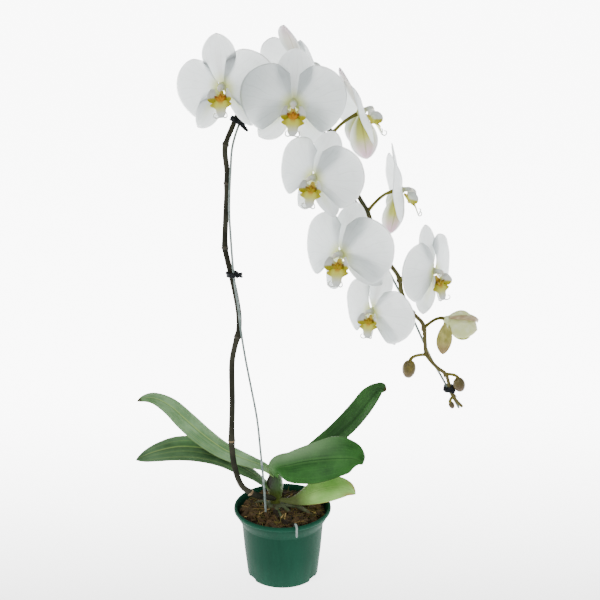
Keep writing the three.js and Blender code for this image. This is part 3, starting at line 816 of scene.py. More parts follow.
@dataclass(frozen=True)
class LeafFinish(Finish):
    """A waxy leaf: fine veins along it, a crease down its middle with painted light and shade beside it, and
    a paler underside.

    Shares from 0 to 1 say how strong a leaf's marks are: the blush of its edges towards the tip, the
    scorch of the tip itself, the painted sheen, a painted highlight on one half of its near end, and its
    parallel ribs. The foot is how far up the leaf its browner foot reaches, as a share of its length.
    """

    name: str
    dark: Colour
    light: Colour
    under: Colour
    rib: Colour
    edge: Colour
    blush: float = 0.0
    scorch: float = 0.0
    foot: float = 0.0
    sheen: float = 0.0
    ribs: float = 0.0
    rib_waves: float = 15.0
    gloss: float = 0.36
    brown: Colour = srgb(58, 44, 22)
    # the colour of the painted sheen
    pale: Colour = srgb(124, 158, 114)

    def paint(self, shader: Shader) -> None:
        """Adds the leaf's nodes.

        Args:
            shader: the new material's shader.
        """
        around, along = shader.uv()
        place = shader.coordinates()
        across = (around * TURN).cosine()
        side = abs(across)
        strands = shader.grain(shader.vector(across * 16, along * 1.6), 1, 3, 0.6)
        fine = shader.grain(shader.vector(across * 60, along * 3), 1, 2)
        mottle = shader.grain(place, 28, 4, 0.55)
        colour = shader.mix(mottle.rise(0.3, 0.72), self.dark, self.light)
        colour = shader.mix(strands.rise(0.42, 0.7) * 0.55, colour, self.light)
        colour = shader.mix(side.rise(0.25, 1.0) * 0.25, colour, self.light)
        # painted sheen: a painted highlight in the pale colour on one half of the near end
        if self.sheen:
            painted_sheen = along.fall(0.3, 0.75) * across.fall(-0.8, 0.2)
            colour = shader.mix(painted_sheen * self.sheen, colour, self.pale)
        colour = shader.mix(side.fall(0.05, 0.16) * side.rise(0.0, 0.05) * 0.25, colour, self.rib)
        if self.ribs:
            lines = (across * self.rib_waves + strands * 0.6).sine().rise(0.55, 1.0)
            lines = lines * along.rise(0.06, 0.3) * along.fall(0.8, 1.0)
            colour = shader.mix(lines * self.ribs, colour, self.rib)
            # painted light along the crease: on one side a line in the rib colour, a painted highlight where
            # the rib colour is pale and painted shade where it is dark; on the other side painted shade
            painted_crease_line = across.rise(-0.01, 0.03) * across.fall(0.05, 0.13)
            colour = shader.mix(painted_crease_line * 0.8, colour, self.rib)
            painted_crease_shade = across.rise(-0.16, -0.03) * across.fall(-0.03, 0.0)
            colour = shader.mix(painted_crease_shade * 0.7, colour, self.dark)
        else:
            # painted shade down the crease
            colour = shader.mix(side.fall(0.0, 0.045) * 0.6, colour, self.dark)
        back = around.over(0.5)
        colour = shader.mix(back * 0.75, colour, self.under)
        rim = side.rise(0.95, 1.0) * 0.7
        colour = shader.mix(rim, colour, self.edge)
        if self.blush:
            flushed = along.rise(0.72, 1.0) * side.rise(0.2, 0.95) * self.blush
            colour = shader.mix(flushed, colour, self.edge)
        colour = shader.mix(along.fall(0.0, 0.14) * 0.5, colour, self.rib)
        if self.scorch:
            tip = (along + mottle * 0.03).rise(0.945, 0.975)
            colour = shader.mix(tip * self.scorch, colour, self.brown)
        # browner towards the foot, as far up as the foot share
        if self.foot:
            neck = (along + mottle * 0.06).fall(self.foot - 0.12, self.foot + 0.14)
            colour = shader.mix(neck * 0.85, colour, self.brown)
        pits = shader.grain(place, 700, 3)
        roughness = self.gloss + mottle * 0.16 + pits * 0.06 + back * 0.15
        height = strands * 0.5 + fine * 0.35 + pits * 0.15 - side.fall(0.0, 0.035) * 0.6
        shader.finish(colour, roughness, shader.bump(height, 0.0005, 0.8), Specular_IOR_Level=0.18)


@dataclass(frozen=True)
class CrownFinish(Finish):
    """The clasping leaf sheaths: green at the right, dark and brownish towards the left, yellow at the foot.
    """

    name: str = "crown_sheath"
    dark: Colour = srgb(26, 28, 10)
    green: Colour = srgb(44, 88, 22)
    foot: Colour = srgb(96, 104, 34)
    foot_heights: Pair = (0.092, 0.118)

    def paint(self, shader: Shader) -> None:
        """Adds the sheaths' nodes.

        Args:
            shader: the new material's shader.
        """
        place = shader.coordinates()
        x, _, z = shader.split(place)
        fibres = shader.grain(shader.stretch(place, UPRIGHT), 520, 4, 0.6)
        patch = shader.grain(place, 70, 3)
        # dark and brownish towards the left side, green towards the right
        colour = shader.mix((x * 60 + patch).rise(-0.5, 0.6), self.dark, self.green)
        colour = shader.mix(z.fall(*self.foot_heights) * 0.7, colour, self.foot)
        colour = shader.mix(fibres.rise(0.5, 0.8) * 0.35, colour, self.dark)
        shader.finish(colour, 0.42 + fibres * 0.2, shader.bump(fibres, 0.0005), Coat_Weight=0.1)


@dataclass(frozen=True)
class RootFinish(Finish):
    """An aerial root's grey-green velamen, greener where it is wet, with brown scars."""

    name: str = "root_skin"
    grey: Colour = srgb(76, 84, 58)
    green: Colour = srgb(54, 70, 34)
    scar: Colour = srgb(58, 40, 20)

    def paint(self, shader: Shader) -> None:
        """Adds the root's nodes.

        Args:
            shader: the new material's shader.
        """
        place = shader.coordinates()
        mottle = shader.grain(place, 160, 4, 0.6)
        fibres = shader.grain(place, 900, 3)
        colour = shader.mix(mottle.rise(0.4, 0.62), self.grey, self.green)
        colour = shader.mix(shader.grain(place, 90, 5, 0.7).rise(0.52, 0.66), colour, self.scar)
        shader.finish(colour, 0.7 + fibres * 0.15, shader.bump(mottle * 0.6 + fibres * 0.4, 0.0007))


@dataclass(frozen=True)
class StemFinish(Finish):
    """A flower stem: smooth skin with fine lengthwise streaks and small scattered specks.

    Towards its tip it turns to the young colour, as far as the tender share says.
    """

    name: str
    dark: Colour
    light: Colour
    fleck: Colour
    tender: float = 0.0
    young: Colour = srgb(104, 98, 62)

    def paint(self, shader: Shader) -> None:
        """Adds the stem's nodes.

        Args:
            shader: the new material's shader.
        """
        around, along = shader.uv()
        place = shader.coordinates()
        streaks = shader.grain(shader.vector(around * 9, along * 60), 1, 3, 0.6)
        patches = shader.grain(place, 45, 3)
        specks = shader.cells(place, 420).fall(0.12, 0.2)
        colour = shader.mix(patches.rise(0.35, 0.7), self.dark, self.light)
        colour = shader.mix(streaks.rise(0.55, 0.8) * 0.4, colour, self.light)
        if self.tender:
            growing = (along + patches * 0.1).rise(0.6, 1.0)
            colour = shader.mix(growing * self.tender, colour, self.young)
        colour = shader.mix(specks * 0.35, colour, self.fleck)
        height = streaks * 0.7 + specks * 0.3
        shader.finish(colour, 0.5 + streaks * 0.15, shader.bump(height, 0.0002), Specular_IOR_Level=0.0)


@dataclass(frozen=True)
class SheathFinish(Finish):
    """A dry, papery sheath round a node of the stem."""

    name: str = "dry_sheath"
    pale: Colour = srgb(164, 148, 112)
    brown: Colour = srgb(98, 76, 50)

    def paint(self, shader: Shader) -> None:
        """Adds the sheath's nodes.

        Args:
            shader: the new material's shader.
        """
        around, along = shader.uv()
        fibres = shader.grain(shader.vector(around * 24, along * 1.5), 1, 4, 0.6)
        colour = shader.mix((fibres * 0.7 + along * 0.3).rise(0.3, 0.7), self.brown, self.pale)
        shader.finish(colour, 0.8, shader.bump(fibres, 0.0003))


@dataclass(frozen=True)
class WireFinish(Finish):
    """Plain galvanised wire: grey, drawn along its length, dulled in patches."""

    name: str = "wire_zinc"
    bright: Colour = srgb(144, 158, 154)
    dull: Colour = srgb(104, 118, 114)

    def paint(self, shader: Shader) -> None:
        """Adds the wire's nodes.

        Args:
            shader: the new material's shader.
        """
        around, along = shader.uv()
        place = shader.coordinates()
        drawn = shader.grain(shader.vector(around * 14, along * 90), 1, 2)
        dulled = shader.grain(place, 120, 4, 0.6)
        colour = shader.mix(dulled.rise(0.35, 0.65), self.bright, self.dull)
        roughness = 0.44 + drawn * 0.2 + dulled * 0.15
        shader.finish(colour, roughness, shader.bump(drawn, 0.00008), Specular_IOR_Level=0.08)


@dataclass(frozen=True)
class TieFinish(Finish):
    """Black plastic-coated tie cord, scuffed grey in places."""

    name: str = "tie_coating"
    black: Colour = srgb(24, 27, 30)
    scuff: Colour = srgb(84, 90, 94)

    def paint(self, shader: Shader) -> None:
        """Adds the coating's nodes.

        Args:
            shader: the new material's shader.
        """
        place = shader.coordinates()
        wear = shader.grain(place, 520, 4, 0.6)
        colour = shader.mix(wear.rise(0.5, 0.75) * 0.6, self.black, self.scuff)
        shader.finish(colour, 0.5 + wear * 0.2, shader.bump(wear, 0.0002), Specular_IOR_Level=0.06)


@dataclass(frozen=True)
class TepalFinish(Finish):
    """A white tepal: a fan of faint veins, a green-yellow throat, and a tinted back on a sepal.

    The throat's colour reaches so many millimetres from the bloom's heart. The back has its colour at its
    foot and another at its tip, and a crease. A streak of the tint runs up a sepal's middle.
    """

    name: str
    white: Colour = srgb(203, 213, 214)
    vein: Colour = srgb(172, 184, 184)
    throat: Colour = srgb(168, 178, 44)
    heart: Point = (0.0, -2.0, 2.0)
    reach: float = 19.0
    back: Colour = srgb(214, 220, 218)
    back_tip: Colour = srgb(214, 216, 218)
    crease: Colour = srgb(196, 204, 190)
    back_share: float = 0.3
    streak: float = 0.0
    tint: Colour = srgb(186, 200, 128)
    veins: float = 15.0

    def paint(self, shader: Shader) -> None:
        """Adds the tepal's nodes.

        Args:
            shader: the new material's shader.
        """
        around, along = shader.uv()
        local = shader.local()
        across = (around * TURN).cosine()
        warp = shader.grain(shader.vector(across * 2.2, along * 3), 1, 2)
        fan = (across * self.veins + warp * 3.2).sine()
        forks = (across * (2.3 * self.veins) + warp * 6).sine()
        lines = abs(fan).fall(0.0, 0.22) * 0.8 + abs(forks).fall(0.0, 0.3) * along.rise(0.35, 0.7) * 0.5
        lines = lines * along.rise(0.04, 0.25) * along.fall(0.8, 1.0)
        colour = shader.mix(lines * 0.5, self.white, self.vein)
        sheen = shader.grain(local, 0.09, 3)
        colour = shader.mix(sheen.rise(0.5, 0.75) * 0.3, colour, self.vein)
        if self.streak:
            middle = abs(across).fall(0.0, 0.5) * along.fall(0.2, 0.95) * self.streak
            colour = shader.mix(middle, colour, self.tint)
        far = shader.distance(local, self.heart)
        colour = shader.mix(far.fall(5.0, self.reach) * 0.8, colour, self.throat)
        back = shader.mix(along.rise(0.5, 0.95), self.back, self.back_tip)
        back = shader.mix(abs(across).fall(0.02, 0.1) * along.fall(0.75, 1.0) * 0.8, back, self.crease)
        paler = 1.0 - abs(across).rise(0.45, 1.0) * 0.55
        colour = shader.mix(around.over(0.5) * self.back_share * paler, colour, back)
        cells = shader.grain(local, 2.6, 2)
        height = lines * 0.55 + cells * 0.3 + warp * 0.15
        relief = shader.bump(height, 0.00022, 0.7)
        light = lit_through(0.7, (0.006, 0.006, 0.0058))
        shader.finish(colour, 0.5 + cells * 0.1, relief, Specular_IOR_Level=0.3, **light)


@dataclass(frozen=True)
class ColumnFinish(Finish):
    """The bloom's middle: white, with a yellow-green foot and a soft cream cap."""

    name: str = "column_white"
    white: Colour = srgb(208, 212, 206)
    cream: Colour = srgb(206, 198, 176)
    foot: Colour = srgb(168, 176, 60)
    shadow: Colour = srgb(196, 176, 150)
    under_cap: Point = (0.0, -3.4, 9.4)

    def paint(self, shader: Shader) -> None:
        """Adds the column's nodes.

        Args:
            shader: the new material's shader.
        """
        local = shader.local()
        _, _, forward = shader.split(local)
        cells = shader.grain(local, 1.8, 3)
        colour = shader.mix(forward.fall(0.0, 8.0) * 0.8, self.white, self.foot)
        colour = shader.mix(forward.rise(9.5, 12.5) * 0.6, colour, self.cream)
        hollow = shader.distance(local, self.under_cap).fall(0.6, 2.4)
        colour = shader.mix(hollow * 0.6, colour, self.shadow)
        light = lit_through(0.3, (0.003, 0.003, 0.0025))
        shader.finish(colour, 0.45, shader.bump(cells, 0.0002), **light)


@dataclass(frozen=True)
class LipFinish(Finish):
    """The lip: white lobes with yellow lower margins, a yellow shield, an orange callus and fine bars.

    Places are millimetres in the bloom's own frame.
    """

    name: str = "lip_yellow"
    white: Colour = srgb(214, 218, 212)
    yellow: Colour = srgb(198, 198, 50)
    deep: Colour = srgb(166, 158, 0)
    orange: Colour = srgb(190, 132, 0)
    bars: Colour = srgb(110, 50, 0)
    root_place: Point = (0.0, -9.0, 6.0)
    callus_place: Point = (0.0, -11.0, 11.4)

    def paint(self, shader: Shader) -> None:
        """Adds the lip's nodes.

        Args:
            shader: the new material's shader.
        """
        local = shader.local()
        side, up, _ = shader.split(local)
        out = abs(side)
        cells = shader.grain(local, 1.1, 3)
        wander = cells * 3.0 - 1.5
        lower = (up + wander).fall(-11.5, -8.5) * (up + wander * 0.4).rise(-28.5, -17.5)
        root = shader.distance(local, self.root_place).fall(4.0, 9.5)
        colour = shader.mix(lower * 0.95, self.white, self.yellow)
        colour = shader.mix(root * 0.9, colour, self.yellow)
        colour = shader.mix(lower * out.rise(4.0, 9.0) * 0.95, colour, self.deep)
        callus = shader.distance(local, self.callus_place)
        strip = out.fall(1.6, 3.4) * up.rise(-18.5, -14.5) * 0.5
        colour = shader.mix(strip, colour, self.orange)
        colour = shader.mix((callus + cells * 1.5).fall(4.0, 6.4) * 0.95, colour, self.orange)
        stripe = ((up + out * 0.8) * 5.2 + cells * 2.0).sine().rise(0.55, 0.9)
        colour = shader.mix(stripe * callus.fall(4.0, 8.5) * 0.5, colour, self.bars)
        shader.finish(colour, 0.45 + cells * 0.1, shader.bump(cells, 0.0003), Specular_IOR_Level=0.3)


@dataclass(frozen=True)
class CallusFinish(Finish):
    """The lip's teeth: orange, with brown painted shade towards their tips, and speckled brown."""

    name: str = "callus_orange"
    orange: Colour = srgb(190, 130, 0)
    # the painted shade towards the teeth's tips, and the speckles
    brown: Colour = srgb(118, 66, 0)

    def paint(self, shader: Shader) -> None:
        """Adds the teeth's nodes.

        Args:
            shader: the new material's shader.
        """
        local = shader.local()
        side, up, _ = shader.split(local)
        cells = shader.grain(local, 1.6, 3)
        # painted shade: the teeth are mixed towards brown towards their tips
        tip = (up + abs(side) * 0.45 + cells * 2.0 - 1.0).rise(-10.5, -6.5)
        colour = shader.mix(tip * 0.9, self.orange, self.brown)
        colour = shader.mix(cells.rise(0.55, 0.7) * 0.5, colour, self.brown)
        shader.finish(colour, 0.45, shader.bump(cells, 0.0003), Specular_IOR_Level=0.25)


@dataclass(frozen=True)
class BudFinish(Finish):
    """A bud or half-open bloom's skin: streaked along, and flushed towards its tip."""

    name: str
    base: Colour
    light: Colour
    flush: Colour
    flush_from: float = 0.55
    flush_share: float = 0.7

    def paint(self, shader: Shader) -> None:
        """Adds the bud's nodes.

        Args:
            shader: the new material's shader.
        """
        around, along = shader.uv()
        place = shader.coordinates()
        streaks = shader.grain(shader.vector(around * 12, along * 1.4), 1, 3, 0.6)
        mottle = shader.grain(place, 130, 3)
        colour = shader.mix(mottle.rise(0.35, 0.7), self.base, self.light)
        colour = shader.mix(streaks.rise(0.5, 0.8) * 0.45, colour, self.light)
        flushed = (along + mottle * 0.2).rise(self.flush_from, 1.1) * self.flush_share
        colour = shader.mix(flushed, colour, self.flush)
        light = lit_through(0.1, (0.003, 0.003, 0.002))
        shader.finish(colour, 0.45 + mottle * 0.1, shader.bump(streaks, 0.0003), **light)


@dataclass(frozen=True)
class FloorFinish(Finish):
    """A white floor that glows behind the plant, as a studio's lit backdrop does.

    The glow sets in between two places along Y, in metres.
    """

    name: str = "lit_backdrop"
    white: Colour = (0.94, 0.94, 0.94, 1.0)
    black: Colour = (0.0, 0.0, 0.0, 1.0)
    glow: float = 9.0
    glow_from: Pair = (-0.5, 0.6)

    def paint(self, shader: Shader) -> None:
        """Adds the floor's nodes.

        Args:
            shader: the new material's shader.
        """
        _, y, _ = shader.split(shader.coordinates())
        lit = shader.mix(y.rise(*self.glow_from), self.black, self.white)
        shader.finish(
            self.white, 0.9, Specular_IOR_Level=0.1, Emission_Color=lit, Emission_Strength=self.glow
        )


# ---- the pot and its bark


@dataclass
class Pot:
    """The green nursery pot: a tapered wall, a flared band, a rolled rim and drain slots."""

    height: float = 88.0
    rim_radius: float = 57.5
    base_radius: float = 42.0
    wall: float = 1.6
    band_bottom: float = 69.5
    band_radius: float = 49.2
    sides: int = 96
    slots: int = 3
    first_slot: float = 60.0
    slot_size: Point = (15.0, 18.0, 8.0)
    slot_edge: float = 1.6
    sharp: float = 40.0
    finish: PotPlastic = PotPlastic()

    def outline(self) -> list[Pair]:
        """Radius and height of each ring, from the underside up the outside and down the inside.

        Returns:
            The rings' radii and heights.
        """
        rim, base, band = self.rim_radius, self.base_radius, self.band_radius
        low, top = self.band_bottom, self.height
        outside = [
            (base - 9, 0), (base - 3, 0), (base - 0.9, 0.5), (base, 2), (lerp(base, band, 0.5), low / 2),
            (band - 1.0, low - 2.2), (band - 0.8, low - 0.9), (band - 0.1, low - 0.2),
            (band + 0.3, low + 1.2), (band + 1.2, low + 2.6), (band + 2.6, low + 5), (band + 4.2, low + 8),
            (rim - 2.8, top - 7.6), (rim - 2.4, top - 6.0), (rim - 1.1, top - 5.3), (rim - 0.2, top - 4.2),
            (rim, top - 2.8), (rim - 0.25, top - 1.2), (rim - 0.9, top - 0.3), (rim - 1.9, top),
        ]
        inside = [
            (rim - 2.9, top - 0.35), (rim - 3.5, top - 1.4), (rim - 4.4, top - 6), (rim - 5.5, top - 9.5),
            (band + 0.9, low + 6), (band - 0.2, low + 4), (band - self.wall - 1, low - 2),
            (base - self.wall, 4), (base - self.wall - 2, self.wall), (base - 12, self.wall),
        ]
        return outside + inside

    def cutter(self, turn: float) -> Piece:
        """A rounded block that cuts one drain slot, at a turn in degrees.

        Args:
            turn: where it stands, round the pot.

        Returns:
            The block.
        """
        bpy.ops.mesh.primitive_cube_add(size=1.0)
        block = bpy.context.object
        block.data.transform(Matrix.Diagonal((*self.slot_size, 1.0)))
        modify(block, "BEVEL", width=self.slot_edge, segments=3)
        outward = Matrix.Translation((0, -self.base_radius, 0))
        block.data.transform(Matrix.Rotation(radians(turn), 4, "Z") @ outward)
        return block

    def build(self) -> None:
        """Builds the pot ring by ring, closes its floor and cuts its slots."""
        rings = self.outline()
        deselect()
        first, start = rings[0]
        bpy.ops.mesh.primitive_circle_add(
            vertices=self.sides, radius=first, location=(0, 0, start), fill_type="TRIFAN"
        )
        pot = bpy.context.object
        pot.name = pot.data.name = "pot_shell"
        edit(pot)
        bpy.ops.mesh.region_to_loop()
        for (radius, z), (wider, higher) in zip(rings, rings[1:]):
            bpy.ops.mesh.extrude_edges_move(TRANSFORM_OT_translate={"value": (0, 0, higher - z)})
            share = wider / radius
            bpy.ops.transform.resize(value=(share, share, 1), center_override=(0, 0, higher))
        bpy.ops.mesh.edge_face_add()
        bpy.ops.mesh.poke()
        bpy.ops.object.mode_set(mode="OBJECT")
        pot.data.transform(pot.matrix_world)
        pot.matrix_world = Matrix.Identity(4)
        close(pot)
        for k in range(self.slots):
            block = self.cutter(self.first_slot + 360 / self.slots * k)
            modify(pot, "BOOLEAN", operation="DIFFERENCE", object=block, solver="EXACT")
            remove(block)
        smooth(pot, self.sharp)
        dress(pot, self.finish)
        settle(pot, "pot", "pot")


@dataclass(frozen=True)
class Litter:
    """One kind of loose litter: its count, how far it keeps from the edge, its tilt and how high it lies."""

    kind: Kind
    count: int
    inset: float
    tilt: float
    lift: Pair
    finish: LitterFinish


CHIPS = Litter(
    Kind.CHIP, 210, 4, 38, (0.0, 1.6), LitterFinish("bark_chips", srgb(20, 16, 9), srgb(82, 62, 36))
)
MOSS = Litter(
    Kind.MOSS, 420, 6, 20, (0.6, 2.6), LitterFinish("brown_moss", srgb(36, 30, 13), srgb(106, 96, 44), 700)
)
STRAW = Litter(
    Kind.STRAW, 60, 8, 20, (0.6, 2.6), LitterFinish("pale_straw", srgb(96, 70, 34), srgb(176, 150, 98), 300)
)


@dataclass
class BarkBed:
    """The filling: a lumpy bed of bark and moss that mounds towards the front, with litter on it.

    The walls are the radius and height of each ring from the middle of its foot up to its top's edge.
    """

    top: float = 82.0
    mound: float = 4.0
    slope: float = 0.03
    dip: float = 2.2
    radius: float = 51.0
    walls: tuple[Pair, ...] = (
        (0.0, 3.0), (39.0, 3.0), (46.0, 67.0), (48.2, 73.0), (51.0, 79.0)
    )
    around: int = 96
    rows: int = 44
    edge_share: float = 0.995
    chip_size: Point = (9.5, 5.0, 2.6)
    chip_sharp: float = 35.0
    strand_bends: tuple[float, ...] = (2.4, -1.8, 3.4)
    sizes: Pair = (0.55, 1.35)
    seed: int = 11

    def height(self, x: float, y: float) -> float:
        """The bed's height at a place.

        Args:
            x: the place to the right.
            y: the place to the back.

        Returns:
            The height, in millimetres.
        """
        share = min(1.0, hypot(x, y) / self.radius)
        lumps = 1.5 * noise.noise(Vector((x, y, 0)) * 0.09) + 0.9 * noise.noise(Vector((x, y, 7)) * 0.24)
        return self.top + self.mound * (1 - share * share) - self.slope * y + lumps - self.dip * share**6

    def bed(self) -> Piece:
        """The bed itself, from its foot in the pot to its lumpy top.

        Returns:
            The bed.
        """
        last = len(self.walls) - 1

        def place(turn: float, share: float) -> Vector:
            """A point on the bed."""
            step = share * self.rows
            if step < last + 1:
                radius, z = self.walls[min(round(step), last)]
                return polar(radius, turn, z)
            inward = 1 - (step - last) / (self.rows - last)
            point = polar(self.radius * inward * self.edge_share, turn, 0)
            point.z = self.height(point.x, point.y)
            return point

        return dress(loft("bark_bed", place, self.around, self.rows), BarkFinish())

    def chip(self) -> Piece:
        """One bark chip, about 10 mm long: a bevelled and weathered slab.

        Returns:
            The chip, at the origin.
        """
        bpy.ops.mesh.primitive_cube_add(size=1.0)
        chip = bpy.context.object
        chip.data.transform(Matrix.Diagonal((*self.chip_size, 1.0)))
        edit(chip)
        bpy.ops.mesh.subdivide(number_cuts=1)
        bpy.ops.mesh.bevel(offset=0.35, segments=1)
        bpy.ops.object.mode_set(mode="OBJECT")
        noise.seed_set(self.seed)
        for vertex in chip.data.vertices:
            vertex.co += noise.noise_vector(vertex.co * 0.35) * 1.5
        return chip

    def strand(self, bend: float) -> Piece:
        """One curled strand of moss."""
        route = Route([(-6, 0, 0), (-2, bend, 1.1), (2.2, -bend * 0.4, 0.4), (6, bend * 0.6, 1.4)], 3)
        return tube("strand", route, lambda s: 0.42 - 0.21 * abs(2 * s - 1), 5)

    def straw(self) -> Piece:
        """One stiff pale stick."""
        route = Route([(-7, 0, 0), (0, 0.4, 0.3), (7, 0, 0)], 2)
        return tube("straw", route, lambda s: 0.62, 6)

    def scatter(self, litter: Litter, models: Sequence[Piece]) -> Piece:
        """Copies of small pieces, laid over the bed.

        Args:
            litter: what the pieces are and how they lie.
            models: the pieces to copy.

        Returns:
            All the copies as one mesh.
        """
        draw = random.Random(f"{self.seed}{litter.kind.value}")
        copies = []
        for k in range(litter.count):
            reach = (self.radius - litter.inset) * sqrt((k + 0.5) / litter.count)
            angle = k * GOLDEN_ANGLE + draw.uniform(-0.3, 0.3)
            x, y = reach * cos(angle), reach * sin(angle)
            turned = Matrix.Rotation(draw.uniform(0, TURN), 4, "Z")
            for axis in "XY":
                tilt = radians(draw.uniform(-litter.tilt, litter.tilt))
                turned = turned @ Matrix.Rotation(tilt, 4, axis)
            size = draw.uniform(*self.sizes)
            at = Matrix.Translation((x, y, self.height(x, y) + draw.uniform(*litter.lift)))
            copied = copy_of(models[k % len(models)], at @ turned @ Matrix.Scale(size, 4))
            note_shade(copied, draw.random())
            copies.append(copied)
        for model in models:
            remove(model)
        return dress(join(f"bark_{litter.kind.value}", copies), litter.finish)

    def build(self) -> None:
        """Builds the bed and its litter."""
        settle(self.bed(), "bark", "bark")
        chips = self.scatter(CHIPS, [self.chip()])
        smooth(chips, self.chip_sharp)
        settle(chips, "bark")
        settle(self.scatter(MOSS, [self.strand(bend) for bend in self.strand_bends]), "bark")
        settle(self.scatter(STRAW, [self.straw()]), "bark")


# ---- leaves, stem and roots


@dataclass
class Crown:
    """The short leafy stem: narrow at its foot and wide and flattened where the leaves clasp it.

    Each sheath has its margin's height and the angle of its low point, in radians. The margin rises and
    falls by the dip, and the sheath fades into the stem below over the fade.
    """

    foot: Point = (-8.0, 1.0, 74.0)
    head: Point = (-9.0, 1.0, 133.0)
    radii: tuple[float, ...] = (7.0, 6.2, 7.0, 9.5, 9.5, 5.5)
    flat: float = 0.8
    sheaths: tuple[Pair, ...] = ((96.0, 0.4), (108.0, 3.4), (118.0, 0.9), (127.0, 4.0))
    dip: float = 7.0
    fade: float = 12.0

    def build(self) -> None:
        """Builds the stem with the overlapping margins of its leaf sheaths."""
        last = len(self.radii) - 1
        line = [Vector(self.foot).lerp(Vector(self.head), i / last) for i in range(last + 1)]

        def sheathed(turn: float, share: float) -> float:
            """How far the sheaths stand proud of the stem there."""
            z = lerp(self.foot[2], self.head[2], share)
            proud = 0.0
            for level, facing in self.sheaths:
                margin = level + self.dip * cos(TURN * turn - facing)
                if z > margin - self.fade:
                    proud += 0.07 * ease(margin + 0.8, margin - 0.8, z)
                else:
                    proud += 0.07 * ease(0, self.fade, z - margin + 2 * self.fade)
            return 0.9 + proud * 0.6

        crown = tube("crown_sheaths", Route(line, 10), Track(self.radii).number, 40, 60, sheathed)
        x, y, _ = self.foot
        flatten = Matrix.Diagonal((1, self.flat, 1, 1))
        crown.data.transform(Matrix.Translation((x, y, 0)) @ flatten @ Matrix.Translation((-x, -y, 0)))
        dress(crown, CrownFinish())
        settle(crown, "crown", "crown")


@dataclass
class Leaf:
    """One leaf: a thick blade along its midrib, folded at its crease.

    Widths are half the leaf's, at even steps from its foot to its tip, and its near half may have its own.
    The faces are the ways that its foot and its tip look, and the fold is in degrees. Its thickness runs
    from the rib's to the edge's.
    """

    name: str
    slot: str
    midrib: Sequence[Point]
    width: Sequence[float]
    faces: tuple[Point, Point]
    fold: float
    finish: LeafFinish
    wave: float = 0.6
    phase: float = 0.0
    near: Optional[Sequence[float]] = None
    rib: float = 2.3
    edge: float = 1.2

    def build(self) -> None:
        """Builds the leaf."""
        route = Route(self.midrib, 8)
        far, near = Track(self.width), Track(self.near or self.width)
        base, tip = (Vector(f).normalized() for f in self.faces)

        def middle(v: float, share: float) -> Vector:
            """A point on the leaf's middle surface."""
            centre, _, _, way = route.at(share)
            side = way.cross(base.lerp(tip, share)).normalized()
            up = side.cross(way).normalized()
            blunt = sqrt(clamp((1 - share) * 30 + 0.02))
            half = max((near if v > 0 else far).number(share), 0.4) * blunt
            bend = sqrt(v * v + 0.0015)
            rise = bend * half * tan(radians(self.fold)) - 0.22 * half * v * v
            phase = self.phase + (1.3 if v > 0 else 0)
            rise += self.wave * v * v * sin(9 * share + phase) * ease(0.1, 0.5, share)
            return centre + side * (v * half) + up * rise

        def thick(v: float, share: float) -> float:
            """The leaf's thickness there."""
            return lerp(self.rib, self.edge, abs(v) ** 0.7)

        piece = dress(blade(f"{self.name}_blade", middle, thick, 48, 72), self.finish)
        settle(piece, self.slot, self.name)


